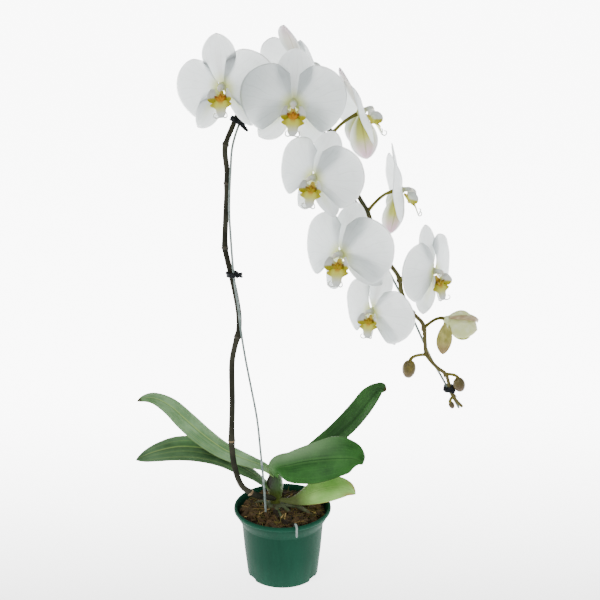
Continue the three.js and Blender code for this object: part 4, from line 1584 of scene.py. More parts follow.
LEAVES = (
    Leaf(
        "leaf_left_upper", "leaf_light",
        ((-9, 1, 127), (-20, 2, 136), (-34, 4, 141), (-50, 7, 146), (-70, 10, 155), (-92, 14, 170),
         (-113, 18, 188), (-132, 20, 206), (-149, 19, 216), (-160, 16, 218), (-169, 13, 216)),
        (7, 9, 12, 15, 17, 18.5, 18.5, 16, 11, 6, 1.2),
        ((0.3, -0.1, 1), (0.35, -0.35, 1)), 14,
        LeafFinish("leaf_light_green", srgb(66, 112, 56), srgb(130, 168, 122), srgb(84, 128, 58),
                   srgb(150, 180, 104), srgb(124, 148, 84), scorch=0.9, ribs=0.2),
    ),
    Leaf(
        "leaf_left_lower", "leaf_dark",
        ((-9, 1, 107), (-22, 2, 117), (-34, 4, 126), (-50, 6, 136), (-70, 8, 148), (-96, 8, 157),
         (-122, 5, 160), (-145, 1, 157), (-160, -2, 153), (-171, -4, 149)),
        (6, 8, 10, 14, 18, 21, 20, 15, 9, 1.2),
        ((0.5, -0.1, 1), (-0.15, -0.5, 1)), 10,
        LeafFinish("leaf_deep_green", srgb(42, 70, 38), srgb(84, 116, 80), srgb(58, 84, 28),
                   srgb(122, 148, 86), srgb(96, 104, 44), ribs=0.3),
        phase=2.0,
    ),
    Leaf(
        "leaf_right_back", "leaf_dark",
        ((-6, 6, 122), (10, 16, 129), (28, 25, 136), (48, 35, 146), (67, 43, 158), (84, 50, 172),
         (97, 55, 186), (107, 59, 199), (114, 61, 207), (119, 61, 211), (124, 59, 210)),
        (5, 9, 13.5, 16.5, 18.5, 19.5, 19, 17.5, 13, 8, 1.6),
        ((-0.6, -0.4, 1), (-0.6, -0.4, 0.7)), 28,
        LeafFinish("leaf_back_green", srgb(20, 58, 14), srgb(50, 96, 40), srgb(56, 88, 26),
                   srgb(22, 58, 18), srgb(56, 70, 28), scorch=0.9, ribs=0.12),
        phase=1.0,
    ),
    Leaf(
        "leaf_right_front", "leaf_dark",
        ((-9.5, -7.2, 129.5), (-6, -9.5, 140.5), (8, -15, 147.5), (22, -19, 153), (38, -24, 158),
         (55, -29, 162), (70, -33, 164.5), (82, -35, 165), (89, -37, 163), (92.5, -38, 160)),
        (4.5, 16.5, 18, 20.5, 24.6, 28.6, 27.6, 20.5, 11.5, 1.4),
        ((-0.2, -0.7, 0.9), (0.1, -0.9, 0.75)), 6,
        LeafFinish("leaf_front_green", srgb(18, 64, 14), srgb(52, 106, 42), srgb(56, 90, 28),
                   srgb(80, 128, 62), srgb(62, 80, 32), sheen=0.75),
        phase=3.0, near=(4.5, 8, 20.8, 25.4, 27.4, 24.4, 19.2, 13.6, 5, 1.4),
    ),
    Leaf(
        "leaf_small", "leaf_yellow",
        ((-5, -2, 97), (9, -9, 98.5), (22, -13, 104), (36, -18, 113.5), (52, -24, 122), (66, -29, 126),
         (77, -32, 125), (85, -34, 120)),
        (2, 4, 9, 14, 15.5, 13.5, 9, 1.4),
        ((-0.3, -0.9, 0.9), (0.1, -0.8, 0.8)), 6,
        LeafFinish("leaf_yellow_green", srgb(112, 170, 72), srgb(166, 210, 118), srgb(128, 142, 60),
                   srgb(176, 204, 124), srgb(166, 100, 66), blush=0.9, foot=0.36),
        phase=4.0,
    ),
)


@dataclass
class Roots:
    """Aerial roots over the bark, and the collar under the crown that they grow from."""

    routes: Sequence[Sequence[Point]] = (
        ((-4, -6, 88), (4, -13, 90), (10, -22, 87), (13, -29, 80), (14, -34, 72)),
        ((-2, -4, 89), (9, -9, 92), (20, -12, 91), (32, -18, 86), (38, -22, 77)),
        ((-8, -7, 88), (-6, -15, 89), (-2, -26, 87), (1, -35, 82), (2, -40, 73)),
        ((0, 1, 88), (11, 5, 90), (23, 6, 88), (33, 3, 80)),
        ((-14, 4, 87), (-24, 9, 88), (-34, 9, 84), (-39, 7, 76)),
    )
    radius: float = 2.5
    collar: Point = (-8.0, 1.0, 87.5)
    collar_radius: float = 12.0
    collar_half_height: float = 4.0
    knobs: int = 5

    def girth(self, share: float) -> float:
        """A root's radius at a share of its length."""
        return self.radius * (1 - 0.25 * share)

    def build(self) -> None:
        """Builds the roots and their collar as one grown piece."""
        parts = []
        for k, route in enumerate(self.routes):

            def lumpy(turn: float, along: float, k: int = k) -> float:
                """The root's uneven girth."""
                return 1 + 0.16 * noise.noise(Vector((cos(TURN * turn), 7 * along + 3 * k, k)))

            parts.append(tube(f"root_{k}", Route(route, 8), self.girth, 14, 36, lumpy))

        def collar(turn: float, share: float) -> Vector:
            """A point on the knobbly collar."""
            middle = sin(pi * share)
            girth = middle**0.6 * self.collar_radius
            girth *= 1 + 0.12 * sin(self.knobs * TURN * turn) * middle
            return Vector(self.collar) + polar(girth, turn, -self.collar_half_height * cos(pi * share))

        parts.append(loft("collar", collar, 40, 14))
        settle(dress(join("root_runs", parts), RootFinish()), "root", "roots")


# ---- the spike, its wire and its ties

SPIKE_ROUTE = Route((
    (-10, -3, 99), (-27, -14, 107), (-37, -18, 114), (-46, -21, 123), (-52, -23, 138),
    (-56, -24, 158), (-57.5, -25, 184), (-56, -25, 232), (-55.5, -25, 281), (-52, -25, 300),
    (-47.5, -25, 318), (-47, -25, 336), (-49.5, -25, 356), (-54, -25, 380), (-59, -25, 403),
    (-61, -25, 415), (-60, -24, 443), (-58, -23, 477), (-57.5, -22, 500), (-59.5, -20, 522),
    (-57.5, -19, 532), (-52, -17, 545), (-46, -14, 558), (-37, -11, 572), (-23, -8, 582),
    (-3, -7, 584), (19, -9, 574), (42, -12, 555), (62, -15, 527), (74, -18, 498),
    (83, -20, 473), (92.5, -21, 457), (97, -21, 446), (106, -22, 419), (119, -24, 396),
    (129, -24, 381), (133, -25, 363), (142, -26, 343), (157, -27, 327), (160, -28, 305),
    (162, -28, 291), (173, -29, 277), (184, -30, 268), (189, -30, 253), (195, -31, 239),
    (203, -32, 230),
), 5)

WIRE_ROUTE = Route((
    (17, -57.2, 77.6), (17, -57, 83), (17, -56.9, 87.6), (16.2, -54.4, 90.8), (15.2, -50.8, 90),
    (14.5, -48.3, 85), (12, -43, 74), (5, -35, 66), (-6, -26, 63), (-15, -20, 67), (-19, -18.5, 76),
    (-19.5, -19, 92), (-21.5, -21, 128), (-24.7, -23.5, 170), (-28.2, -25, 211), (-35, -27.5, 254),
    (-41, -29, 291), (-45, -29.9, 322), (-47, -30, 346), (-50.5, -30, 372), (-53, -29.8, 402),
    (-54.5, -29.3, 430), (-55.5, -28.3, 453), (-55, -27.3, 476), (-53.4, -26, 503), (-51.6, -23, 525),
    (-46.5, -17, 543), (-40.5, -12.5, 556), (-32, -8.5, 568), (-21, -5.5, 575.5), (-3, -4, 578),
    (17, -5.5, 569), (38.5, -7, 550), (57, -9.5, 523), (70, -12.5, 495), (79, -14.8, 469),
    (90, -15.6, 449), (100, -16.4, 424), (115, -18.2, 392), (131, -19.6, 362), (143, -20.6, 338),
    (156, -21.9, 310), (168, -23.3, 284), (181, -24.6, 261), (192.5, -26, 240), (200.5, -27, 226),
), 4)


def facing_matrix(centre: Point, azimuth: float, elevation: float, lean: float, size: float = 1.0) -> Matrix:
    """The place of a flower, whose z looks the way it faces, x to its viewer's right and y up.

    Args:
        centre: its middle.
        azimuth: 0 to the front and 90 to the right, in degrees.
        elevation: above the horizon, in degrees.
        lean: its turn to the viewer's right, in degrees.
        size: its scale.

    Returns:
        The matrix from the flower's own frame.
    """
    a, e = radians(azimuth), radians(elevation)
    facing = Vector((sin(a) * cos(e), -cos(a) * cos(e), sin(e)))
    right = UP.cross(facing).normalized()
    basis = Matrix((right, facing.cross(right), facing)).transposed().to_4x4()
    turned = basis @ Matrix.Rotation(-radians(lean), 4, "Z")
    return Matrix.Translation(centre) @ turned @ Matrix.Scale(size, 4)


def standing_matrix(centre: Union[Point, Vector], way: Vector) -> Matrix:
    """The place of a piece whose z is turned from upright to a way."""
    return Matrix.Translation(centre) @ UP.rotation_difference(way).to_matrix().to_4x4()


@dataclass
class Spike:
    """The flower stem: its nodes and sheaths, and a stalk with a bract for every flower and bud.

    Its nodes are counted in the route's own points. Those up to dry_below carry a dry, pale sheath, and
    the others a living one of the stem's colour.
    """

    foot_radius: float = 3.4
    head_radius: float = 2.75
    tip_radius: float = 1.85
    head_share: float = 0.6
    nodes: tuple[float, ...] = (2, 6, 9.6, 15, 17.4, 19.6)
    dry_below: float = 9.0
    swelling: float = 0.22
    swelling_reach: float = 0.22
    stalk_radius: float = 1.9
    skin: StemFinish = StemFinish("spike_skin", srgb(42, 43, 36), srgb(62, 62, 52), srgb(90, 82, 60), 0.9)
    stalk_skin: StemFinish = StemFinish(
        "stalk_skin", srgb(82, 78, 34), srgb(122, 116, 60), srgb(140, 128, 72)
    )
    dry_sheath: SheathFinish = SheathFinish()
    living_sheath: SheathFinish = SheathFinish("green_sheath", srgb(70, 64, 48), srgb(44, 42, 32))

    def radius(self, share: float) -> float:
        """The stem's radius at a share of its length.

        Args:
            share: 0 at its foot and 1 at its tip.

        Returns:
            The radius.
        """
        if share < self.head_share:
            return lerp(self.foot_radius, self.head_radius, share / self.head_share)
        return lerp(self.head_radius, self.tip_radius, (share - self.head_share) / (1 - self.head_share))

    def stem(self, joints: Sequence[float]) -> Piece:
        """The stem, swollen a little at each node and stalk.

        Args:
            joints: where it swells, in the route's own points.

        Returns:
            The stem.
        """

        def swollen(share: float) -> float:
            """The stem's radius with its swellings."""
            apart = [(share * SPIKE_ROUTE.last - joint) / self.swelling_reach for joint in joints]
            return self.radius(share) * (1 + sum(self.swelling * exp(-(gap**2)) for gap in apart))

        return tube("stem", SPIKE_ROUTE, swollen, 14)

    def sheath(self, place: float) -> Piece:
        """A sheath round one of the stem's nodes, with a pointed margin.

        Args:
            place: the node, in the route's own points.

        Returns:
            The sheath.
        """
        around = self.radius(place / SPIKE_ROUTE.last) * 1.1
        side = 2.4 * place

        def wrap(turn: float, share: float) -> Vector:
            """A point on the sheath's skin, up its outside and down its inside."""
            point = 2.2 + 1.8 * max(0.0, cos(TURN * turn - side)) ** 3
            rise = min(share, 1 - share) * 2
            out = 0.4 * sin(pi * rise) + 0.25 if share < 0.5 else 0.05
            return polar(around + out + 0.3 * rise**3, turn, rise * point - 1.4)

        piece = loft("sheath", wrap, 24, 14)
        piece.data.transform(standing_matrix(SPIKE_ROUTE.knot(place), SPIKE_ROUTE.way_at(place)))
        return dress(piece, self.dry_sheath if place < self.dry_below else self.living_sheath)

    def bract(self, place: float, towards: Vector) -> Piece:
        """A small pointed scale under a stalk.

        Args:
            place: where it grows, in the route's own points.
            towards: a point on the side that it grows on.

        Returns:
            The bract.
        """
        centre, way = SPIKE_ROUTE.knot(place), SPIKE_ROUTE.way_at(place)
        out = towards - centre
        out = (out - way * out.dot(way)).normalized()
        wide = way.cross(out)
        radius = self.radius(place / SPIKE_ROUTE.last) * 1.05

        def middle(v: float, share: float) -> Vector:
            """A point on the scale's middle surface."""
            half = 2.3 * sin(pi * clamp(share + 0.25)) ** 0.7 * (1 - 0.5 * share) + 0.15
            hug = out * cos(v * 0.9) + wide * sin(v * 0.9)
            foot = centre + way * (5.5 * share - 2.5)
            return foot + hug * (radius + 1.4 * share) + wide * (v * half * 0.35)

        return dress(blade("bract", middle, lambda v, s: 0.6, 16, 8), self.dry_sheath)

    def stalk(self, place: float, end: Vector, facing: Vector) -> Piece:
        """A curved stalk from the stem to a flower's back, thicker at both ends.

        Args:
            place: where it leaves the stem, in the route's own points.
            end: where it ends.
            facing: the way that the flower looks.

        Returns:
            The stalk.
        """
        start = SPIKE_ROUTE.knot(place)
        reach = (start - end).length
        rising = start.lerp(end, 0.3) + UP * (0.1 * reach)
        curve = geometry.interpolate_bezier(start, rising, end - facing * (0.35 * reach), end, 18)

        def radius(share: float) -> float:
            """The stalk's radius at a share of its length."""
            thicker = 0.3 * ease(0.25, 0.0, share) + 0.22 * ease(0.7, 1.0, share)
            return self.stalk_radius * (0.92 + thicker)

        def ribbed(turn: float, share: float) -> float:
            """The stalk's section, three-sided towards the flower."""
            return 1 + 0.05 * cos(3 * TURN * turn) * ease(0.4, 0.9, share)

        return dress(tube("stalk", Route(curve, 1), radius, 12, flute=ribbed), self.stalk_skin)

    def build(self, flowers: Sequence[tuple[float, Vector, Vector]]) -> None:
        """Builds the whole spike.

        Args:
            flowers: for each flower or bud, where its stalk leaves the stem, where the stalk ends, and
                the way that the flower faces.
        """
        joints = [*self.nodes, *(place for place, _, _ in flowers)]
        parts = [dress(self.stem(joints), self.skin)]
        parts += [self.sheath(place) for place in self.nodes]
        for place, end, facing in flowers:
            parts.append(self.stalk(place, end, facing))
            parts.append(self.bract(place, SPIKE_ROUTE.knot(place) * 2 - end))
        settle(join("spike_stem", parts), "spike", "spike")


@dataclass
class SupportWire:
    """The galvanised wire that carries the spike: hooked over the pot's rim at one end."""

    radius: float = 1.25

    def build(self) -> None:
        """Builds the wire."""
        piece = dress(tube("support_wire", WIRE_ROUTE, lambda s: self.radius, 12), WireFinish())
        settle(piece, "wire", "wire")


@dataclass
class Tie:
    """A cord wound round the spike and its wire, with its twisted ends standing out.

    Its place is counted in the spike's own points. Each end reaches from the middle of the winding. The
    windings lie off the stem by the gap, and the two strands of an end lie apart by the lay and open or
    close by the flare at its tip.
    """

    name: str
    at: float
    ends: Sequence[Point]
    turns: float = 3.0
    cord: float = 0.8
    pitch: float = 1.8
    gap: float = 0.9
    slack: Pair = (-0.15, 0.35)
    steps: int = 14
    flare: float = 1.2
    lay: float = 0.95
    end_out: float = 1.2
    twists: float = 2.2
    twist_steps: int = 24

    def winding(self, spike: Spike, centre: Vector, way: Vector, apart: Vector) -> Piece:
        """The cord's windings.

        Args:
            spike: the spike that it holds.
            centre: the middle between spike and wire.
            way: the way that the spike runs there.
            apart: how the wire lies from the spike.

        Returns:
            The wound cord.
        """
        wide = apart.normalized()
        across = way.cross(wide)
        inside = spike.radius(self.at / SPIKE_ROUTE.last)
        draw = random.Random(self.name)
        line = []
        for k in range(int(self.turns * self.steps) + 1):
            turn = TURN * k / self.steps
            out = inside + self.cord + (self.gap + draw.uniform(*self.slack))
            line.append(
                centre
                + wide * ((apart.length / 2 + out) * cos(turn))
                + across * (out * sin(turn))
                + way * (self.pitch * (k / self.steps - self.turns / 2))
            )
        return tube("winding", Route(line, 2), lambda s: self.cord, 10)

    def strand(self, foot: Vector, reach: Vector, start: float) -> Piece:
        """One of the two strands that are twisted into an end.

        Args:
            foot: where it leaves the windings.
            reach: the way and length that it stands out.
            start: the angle at which its twist starts.

        Returns:
            The strand.
        """
        axis = reach.normalized()
        side = axis.orthogonal().normalized()
        other = axis.cross(side)
        line = []
        for i in range(self.twist_steps + 1):
            share = i / self.twist_steps
            turn = start + TURN * self.twists * share
            spoke = side * cos(turn) + other * sin(turn)
            spread = self.lay + self.flare * ease(0.75, 1.0, share)
            line.append(foot + axis * (reach.length * share) + spoke * spread)
        return tube("twist", Route(line, 1), lambda s: self.cord * 0.95, 8)

    def build(self, spike: Spike) -> None:
        """Builds the tie.

        Args:
            spike: the spike that it holds.
        """
        middle, way = SPIKE_ROUTE.knot(self.at), SPIKE_ROUTE.way_at(self.at)
        near = min(WIRE_ROUTE.stations, key=lambda p: (p - middle).length)
        apart = near - middle
        apart = apart - way * apart.dot(way)
        centre = middle + apart * 0.5
        out = spike.radius(self.at / SPIKE_ROUTE.last) + self.end_out
        parts = [self.winding(spike, centre, way, apart)]
        for end in self.ends:
            reach = Vector(end)
            foot = centre + reach.normalized() * out
            parts += [self.strand(foot, reach, start) for start in (0.0, pi)]
        settle(dress(join(f"{self.name}_cord", parts), TieFinish()), "tie", self.name)


# ---- blooms

# The right petal's margin, out and up, from its lower corner round to its upper one.
PETAL_EDGE = Track((
    (20, -19), (31, -30), (44.5, -22), (53.5, -6), (55, 11), (48.5, 26), (35.5, 36), (19, 39), (5, 30),
))
# Up, forward, half width and half depth of the lip's middle, from its neck to its tip.
LIP_LINE = Track((
    (-4.6, 3.6, 2, 1.2), (-9.5, 8, 3.8, 2.6), (-13.5, 10.5, 5.5, 2), (-17.3, 14.6, 12, 1.2),
    (-21.5, 16.4, 6, 1), (-26.6, 18, 5, 0.9), (-30.6, 19.2, 2.2, 0.6),
))
# The right side lobe's margin and foot, and the right tendril: out, up and forward.
LOBE_EDGE = Track((
    (5.5, -1.5, 8), (9.6, -0.8, 14.2), (12.4, -6, 18.6), (11.8, -13.2, 17.4), (6.2, -16.6, 11.4),
))
LOBE_FOOT = ((2.2, -8, 6.8), (2, -12.5, 8.6))
TENDRIL = ((1.2, -29.4, 18.6), (4.4, -30.6, 20), (7, -29, 22), (7, -26, 22.4), (5.8, -25, 20.4))


@dataclass(frozen=True)
class SepalShape:
    """A sepal's sizes in millimetres and angles in degrees.

    It leans back, sits sunk behind the petals, grows at an angle from the top, and turns its margins by
    the twist.
    """

    length: float
    half_width: float
    back: float
    sunk: float
    angle: float = 0.0
    twist: float = 0.0


class Flower:
    """What an open and a half-open bloom share: how they hang, a sepal, and the round back on the stalk."""

    centre: Point
    faces: Pair
    lean: float
    size: float
    hub_back: float = 6.0
    hub_radius: float = 4.8
    thick: float = 0.8

    def matrix(self) -> Matrix:
        """Where the bloom hangs."""
        return facing_matrix(self.centre, *self.faces, self.lean, self.size)

    def facing(self) -> Vector:
        """The way that the bloom looks."""
        return (self.matrix().to_3x3() @ UP).normalized()

    def back(self) -> Vector:
        """Where its stalk meets it, half a millimetre behind its hub's foot."""
        return Vector(self.centre) - self.facing() * (self.size * (self.hub_back + 0.5))

    def sepal(self, side: Side, shape: SepalShape) -> Piece:
        """One oval sepal, pointed at its tip.

        Args:
            side: the side that it grows on.
            shape: its sizes and angles.

        Returns:
            The sepal, in the bloom's own frame.
        """
        flip = side.value
        axis = radians(flip * shape.angle)
        along = Vector((sin(axis), cos(axis), -tan(radians(shape.back)))).normalized()
        wide = Vector((cos(axis), -sin(axis), 0))
        wide.rotate(Quaternion(along, radians(-flip * shape.twist)))
        face = wide.cross(along)

        def middle(v: float, share: float) -> Vector:
            """A point on the sepal's middle surface."""
            full = max(sin(pi * clamp(share) ** 1.25), 0.0) ** 0.6
            half = max(shape.half_width * full, lerp(3.4, 0.5, min(1.0, 2 * share)))
            bulge = -2.4 * v * v * (half / shape.half_width) + 1.4 * sin(pi * share)
            bulge += 0.5 * exp(-((v / 0.12) ** 2)) * sin(pi * share)
            bulge += 0.35 * share**3 * sin(9 * v + flip)
            point = Vector((0, 0, -shape.sunk)) + along * lerp(1.5, shape.length, share)
            return point + wide * (v * half) + face * bulge

        return blade("sepal", middle, lambda v, s: self.thick, 40, 30)

    def hub(self) -> Piece:
        """The round back of the bloom, where its stalk meets it.

        Returns:
            The hub.
        """

        def place(turn: float, share: float) -> Vector:
            """A point on the hub."""
            girth = self.hub_radius * sin(pi * share) ** 0.8
            return polar(girth, turn, -1.5 - self.hub_back * cos(pi * share))

        return loft("hub", place, 20, 12)


@dataclass
class Bloom(Flower):
    """One open bloom: three sepals, two broad petals, its column, and its lobed lip.

    Angles are in degrees. Pairs are for the left and the right: how far the petals swing forward of the
    usual and hang below it, and the side sepals' angles from the top and the turn of their margins. The
    flare swings the top, left and right sepal back, and the lip nods, turns and rolls against the tepals.
    The claw is where the petals leave the column, out and up. Each ruffle of their margins has a height,
    the power that keeps it to the margin, and its waves. Past an angle of facing the teeth are in shade.
    """

    name: str
    centre: Point
    faces: Pair
    lean: float
    size: float
    swing: Pair
    droop: Pair
    flare: Point
    spread: Pair
    twist: Pair
    lip_turn: Point
    start: float
    claw: Pair = (1.5, 2.6)
    bow: float = 2.4
    ruffles: tuple[Point, ...] = ((0.55, 3, 7.5), (0.3, 5, 15))
    petal_back: float = -16.0
    dorsal: SepalShape = SepalShape(56, 18.5, 6, 1.8)
    lateral: SepalShape = SepalShape(52, 16.5, 9, 3.4)
    shaded_past: float = 20.0
    callus_finish: CallusFinish = CallusFinish()
    # painted shade: a darker, yellower copy of the callus finish for blooms that face away
    shaded_callus: CallusFinish = CallusFinish("callus_yellow", srgb(166, 142, 10), srgb(112, 84, 14))
    petal_finish: TepalFinish = TepalFinish("petal_white")
    dorsal_finish: TepalFinish = TepalFinish(
        "dorsal_white", reach=22.0, back=srgb(146, 144, 132), back_tip=srgb(142, 124, 132),
        crease=srgb(112, 104, 84), back_share=1.0, veins=11.0, streak=0.45, tint=srgb(164, 158, 156),
    )
    sepal_finish: TepalFinish = TepalFinish(
        "sepal_white", reach=27.0, back=srgb(110, 114, 30), back_tip=srgb(164, 124, 142),
        crease=srgb(84, 82, 20), back_share=1.0, veins=9.0, streak=0.6,
    )

    def lip_matrix(self) -> Matrix:
        """Where the lip hangs, turned about the bloom's middle.

        Returns:
            The matrix from the lip's own frame.
        """
        turned = self.matrix()
        for angle, axis in zip(self.lip_turn, "XYZ"):
            turned = turned @ Matrix.Rotation(radians(angle), 4, axis)
        return turned

    def petal(self, side: Side) -> Piece:
        """One broad petal, whose rays fan out from a narrow claw.

        Args:
            side: the side that it grows on.

        Returns:
            The petal, in the bloom's own frame.
        """
        place = 0 if side is Side.LEFT else 1
        slope = tan(radians(self.petal_back + self.swing[place]))
        sink = radians(self.droop[place])
        across, down = cos(sink), sin(sink)
        draw = random.Random(self.name)
        phases = [draw.uniform(0, TURN) for _ in range(4)][place::2]
        flip = side.value
        out_claw, up_claw = self.claw

        def middle(v: float, share: float) -> Vector:
            """A point on the petal's middle surface."""
            edge_out, edge_up = PETAL_EDGE.at((v + 1) / 2)
            out = lerp(out_claw, edge_out, share)
            up = lerp(up_claw * v, edge_up, share)
            curl = self.bow * sin(pi * share) - 2.2 * share**2 + 0.7 * share * sin(4 * v + flip)
            for (height, power, waves), phase in zip(self.ruffles, phases):
                curl += height * share**power * sin(waves * v + phase)
            curl -= 0.54 * exp(-(((v - 0.05) / 0.1) ** 2)) * sin(pi * share)
            forward = 1.6 + curl + out * slope
            return Vector((flip * (out * across + up * down), up * across - out * down, forward))

        def thick(v: float, share: float) -> float:
            """The petal's thickness there: more at its claw."""
            return lerp(1.0, self.thick, ease(0, 0.3, share))

        return blade("petal", middle, thick, 64, 26, -flip)

    def column(self) -> Piece:
        """The column: a short arched rod with a rounded cap and a hollow under it.

        Returns:
            The column.
        """
        route = Route(((0, 0, -3.5), (0, 0.2, 2), (0, 0, 7), (0, -0.9, 10.6), (0, -2.3, 12.2)), 6)
        girth = Track((3.2, 3.4, 2.7, 2.9, 2.8, 1.7))

        def shaped(turn: float, share: float) -> float:
            """The column's section: flatter below, and drawn in behind the cap."""
            below = max(0.0, -sin(TURN * turn + 0.3))
            neck = exp(-(((share - 0.72) / 0.05) ** 2))
            return 1 - 0.28 * below * ease(0.45, 0.75, share) - 0.12 * neck

        return tube("column", route, girth.number, 20, 28, shaped)

    def tepals(self) -> Piece:
        """The tepals and the column as one piece.

        Returns:
            The joined piece, in the bloom's own frame.
        """
        top, *low = self.flare
        dorsal = replace(self.dorsal, back=self.dorsal.back + top)
        left, right = (
            replace(self.lateral, back=self.lateral.back + flare, angle=angle, twist=twist)
            for flare, angle, twist in zip(low, self.spread, self.twist)
        )
        petals = [dress(self.petal(side), self.petal_finish) for side in (Side.LEFT, Side.RIGHT)]
        shapes = ((Side.TOP, dorsal), (Side.LEFT, left), (Side.RIGHT, right))
        finishes = (self.dorsal_finish, self.sepal_finish, self.sepal_finish)
        sepals = [dress(self.sepal(*shape), finish) for shape, finish in zip(shapes, finishes)]
        middle = [dress(part, ColumnFinish()) for part in (self.column(), self.hub())]
        return join(f"{self.name}_petals", petals + sepals + middle)

    def side_lobe(self, side: Side) -> Piece:
        """One of the lip's two upright side lobes.

        Args:
            side: the side that it grows on.

        Returns:
            The lobe.
        """
        top, bottom = (Vector(p) for p in LOBE_FOOT)
        flip = side.value

        def middle(v: float, share: float) -> Vector:
            """A point on the lobe's middle surface."""
            t = (v + 1) / 2
            point = top.lerp(bottom, t).lerp(Vector(LOBE_EDGE.at(t)), share)
            bulge = 2 * sin(pi * share) + 0.5 * share**3 * sin(6 * v)
            return Vector((flip * (point.x + bulge), point.y, point.z))

        return blade("side_lobe", middle, lambda v, s: 0.85, 32, 14, flip)

    def mid_lobe(self) -> Piece:
        """The lip's middle: its neck, its arrow-shaped blade and its tip.

        Returns:
            The middle lobe.
        """

        def place(turn: float, share: float) -> Vector:
            """A point on the middle lobe's skin."""
            along = clamp((share - 0.06) / 0.88)
            ends = clamp(min(share, 1 - share) / 0.06) ** 0.5
            up, forward, half_width, half_depth = LIP_LINE.at(along)
            before, after = LIP_LINE.at(max(along - 0.02, 0)), LIP_LINE.at(min(along + 0.02, 1))
            across = Vector((0, after[1] - before[1], before[0] - after[0])).normalized()
            angle = TURN * turn
            groove = 0.45 * half_depth * exp(-((cos(angle) / 0.35) ** 2)) * ease(0.45, 0.6, along)
            depth = half_depth * sin(angle) - (groove if sin(angle) > 0 else 0)
            return Vector((ends * half_width * cos(angle), up, forward)) + across * (ends * depth)

        return loft("mid_lobe", place, 28, 40)

    def callus(self) -> list[Piece]:
        """The three upright teeth on the lip's middle.

        Returns:
            The teeth.
        """
        teeth = [((0, -13.8, 9.4), (0, -10, 11.4), (0, -6.6, 11.4))]
        teeth += [((s * 1.2, -13.6, 10.6), (s * 3.6, -10.8, 12.2), (s * 6, -8.2, 12.8)) for s in (-1, 1)]
        finish = self.shaded_callus if abs(self.faces[0]) > self.shaded_past else self.callus_finish

        def girth(share: float) -> float:
            """A tooth's radius at a share of its length."""
            return 2.1 * (1 - share) ** 0.6 + 0.45

        return [dress(tube("callus", Route(tooth, 5), girth, 12), finish) for tooth in teeth]

    def tendril(self, side: Side) -> Piece:
        """One of the two curled threads at the lip's tip."""
        route = Route([(side.value * out, up, forward) for out, up, forward in TENDRIL], 6)
        return tube("tendril", route, lambda s: 0.78 * (1 - 0.45 * s), 8)

    def lip(self) -> Piece:
        """The whole lip as one piece.

        Returns:
            The joined piece, in the lip's own frame.
        """
        parts = [self.mid_lobe()]
        for side in (Side.LEFT, Side.RIGHT):
            parts += [self.side_lobe(side), self.tendril(side)]
        for part in parts:
            dress(part, LipFinish())
        return join(f"{self.name}_lobes", parts + self.callus())

    def build(self) -> None:
        """Builds the bloom's two pieces and hangs them."""
        tepals = self.tepals()
        note_places(tepals)
        settle(tepals, "tepal", f"{self.name}_tepals", matrix=self.matrix())
        lip = self.lip()
        note_places(lip)
        settle(lip, "lip", f"{self.name}_lip", matrix=self.lip_matrix())


BLOOMS = (
    Bloom("bloom_1", (-60, -43, 595), (-10, 4), -7, 0.98, (-7, 0), (18, 6), (-6, -12, -6),
          (142, 149), (32, 82), (0, 0, 0), 22.4),
    Bloom("bloom_2", (14, -66, 582), (1, 3), 3, 1.0, (0, 0), (0, 0), (2, 2, 2),
          (138, 141), (32, 32), (0, 0, 0), 24.2),
    Bloom("bloom_3", (21, 12, 608), (128, 20), -6, 0.93, (0, 0), (0, 17), (2, 2, 2),
          (143, 143), (32, 32), (0, 0, 0), 24.9),
    Bloom("bloom_4", (87, -14, 563), (106, 22), 2, 0.96, (0, 0), (0, 0), (-2, 8, 5),
          (160, 147), (-62, 32), (14, 0, 0), 27.6),
    Bloom("bloom_5", (35, -93, 511), (-31, 8), 14, 0.92, (0, 0), (4, -11), (9, 12, 16),
          (155, 148), (20, -15), (0, 18, 14), 28.4),
    Bloom("bloom_6", (129, -26, 480), (90, 8), 0, 0.94, (6, 3), (0, 0), (-4, 8, 0),
          (147, 145), (-52, 32), (5, 0, 0), 31.2),
    Bloom("bloom_7", (63.5, -78, 424.5), (-35, 9), 5, 1.02, (0, 0), (2, -11), (7, 12, 16),
          (152, 122), (20, -15), (0, 18, 11), 33.3),
    Bloom("bloom_8", (165, -46, 395), (55, 6), 0, 0.92, (7, 7), (0, 0), (0, -4, 0),
          (160, 145), (14, 32), (5, -22, 0), 35.2),
    Bloom("bloom_9", (98, -70, 358), (-42, 8), 5, 0.86, (0, 0), (12, 13), (4, 12, 14),
          (152, 146), (20, -20), (0, 18, 12), 37.2),
)


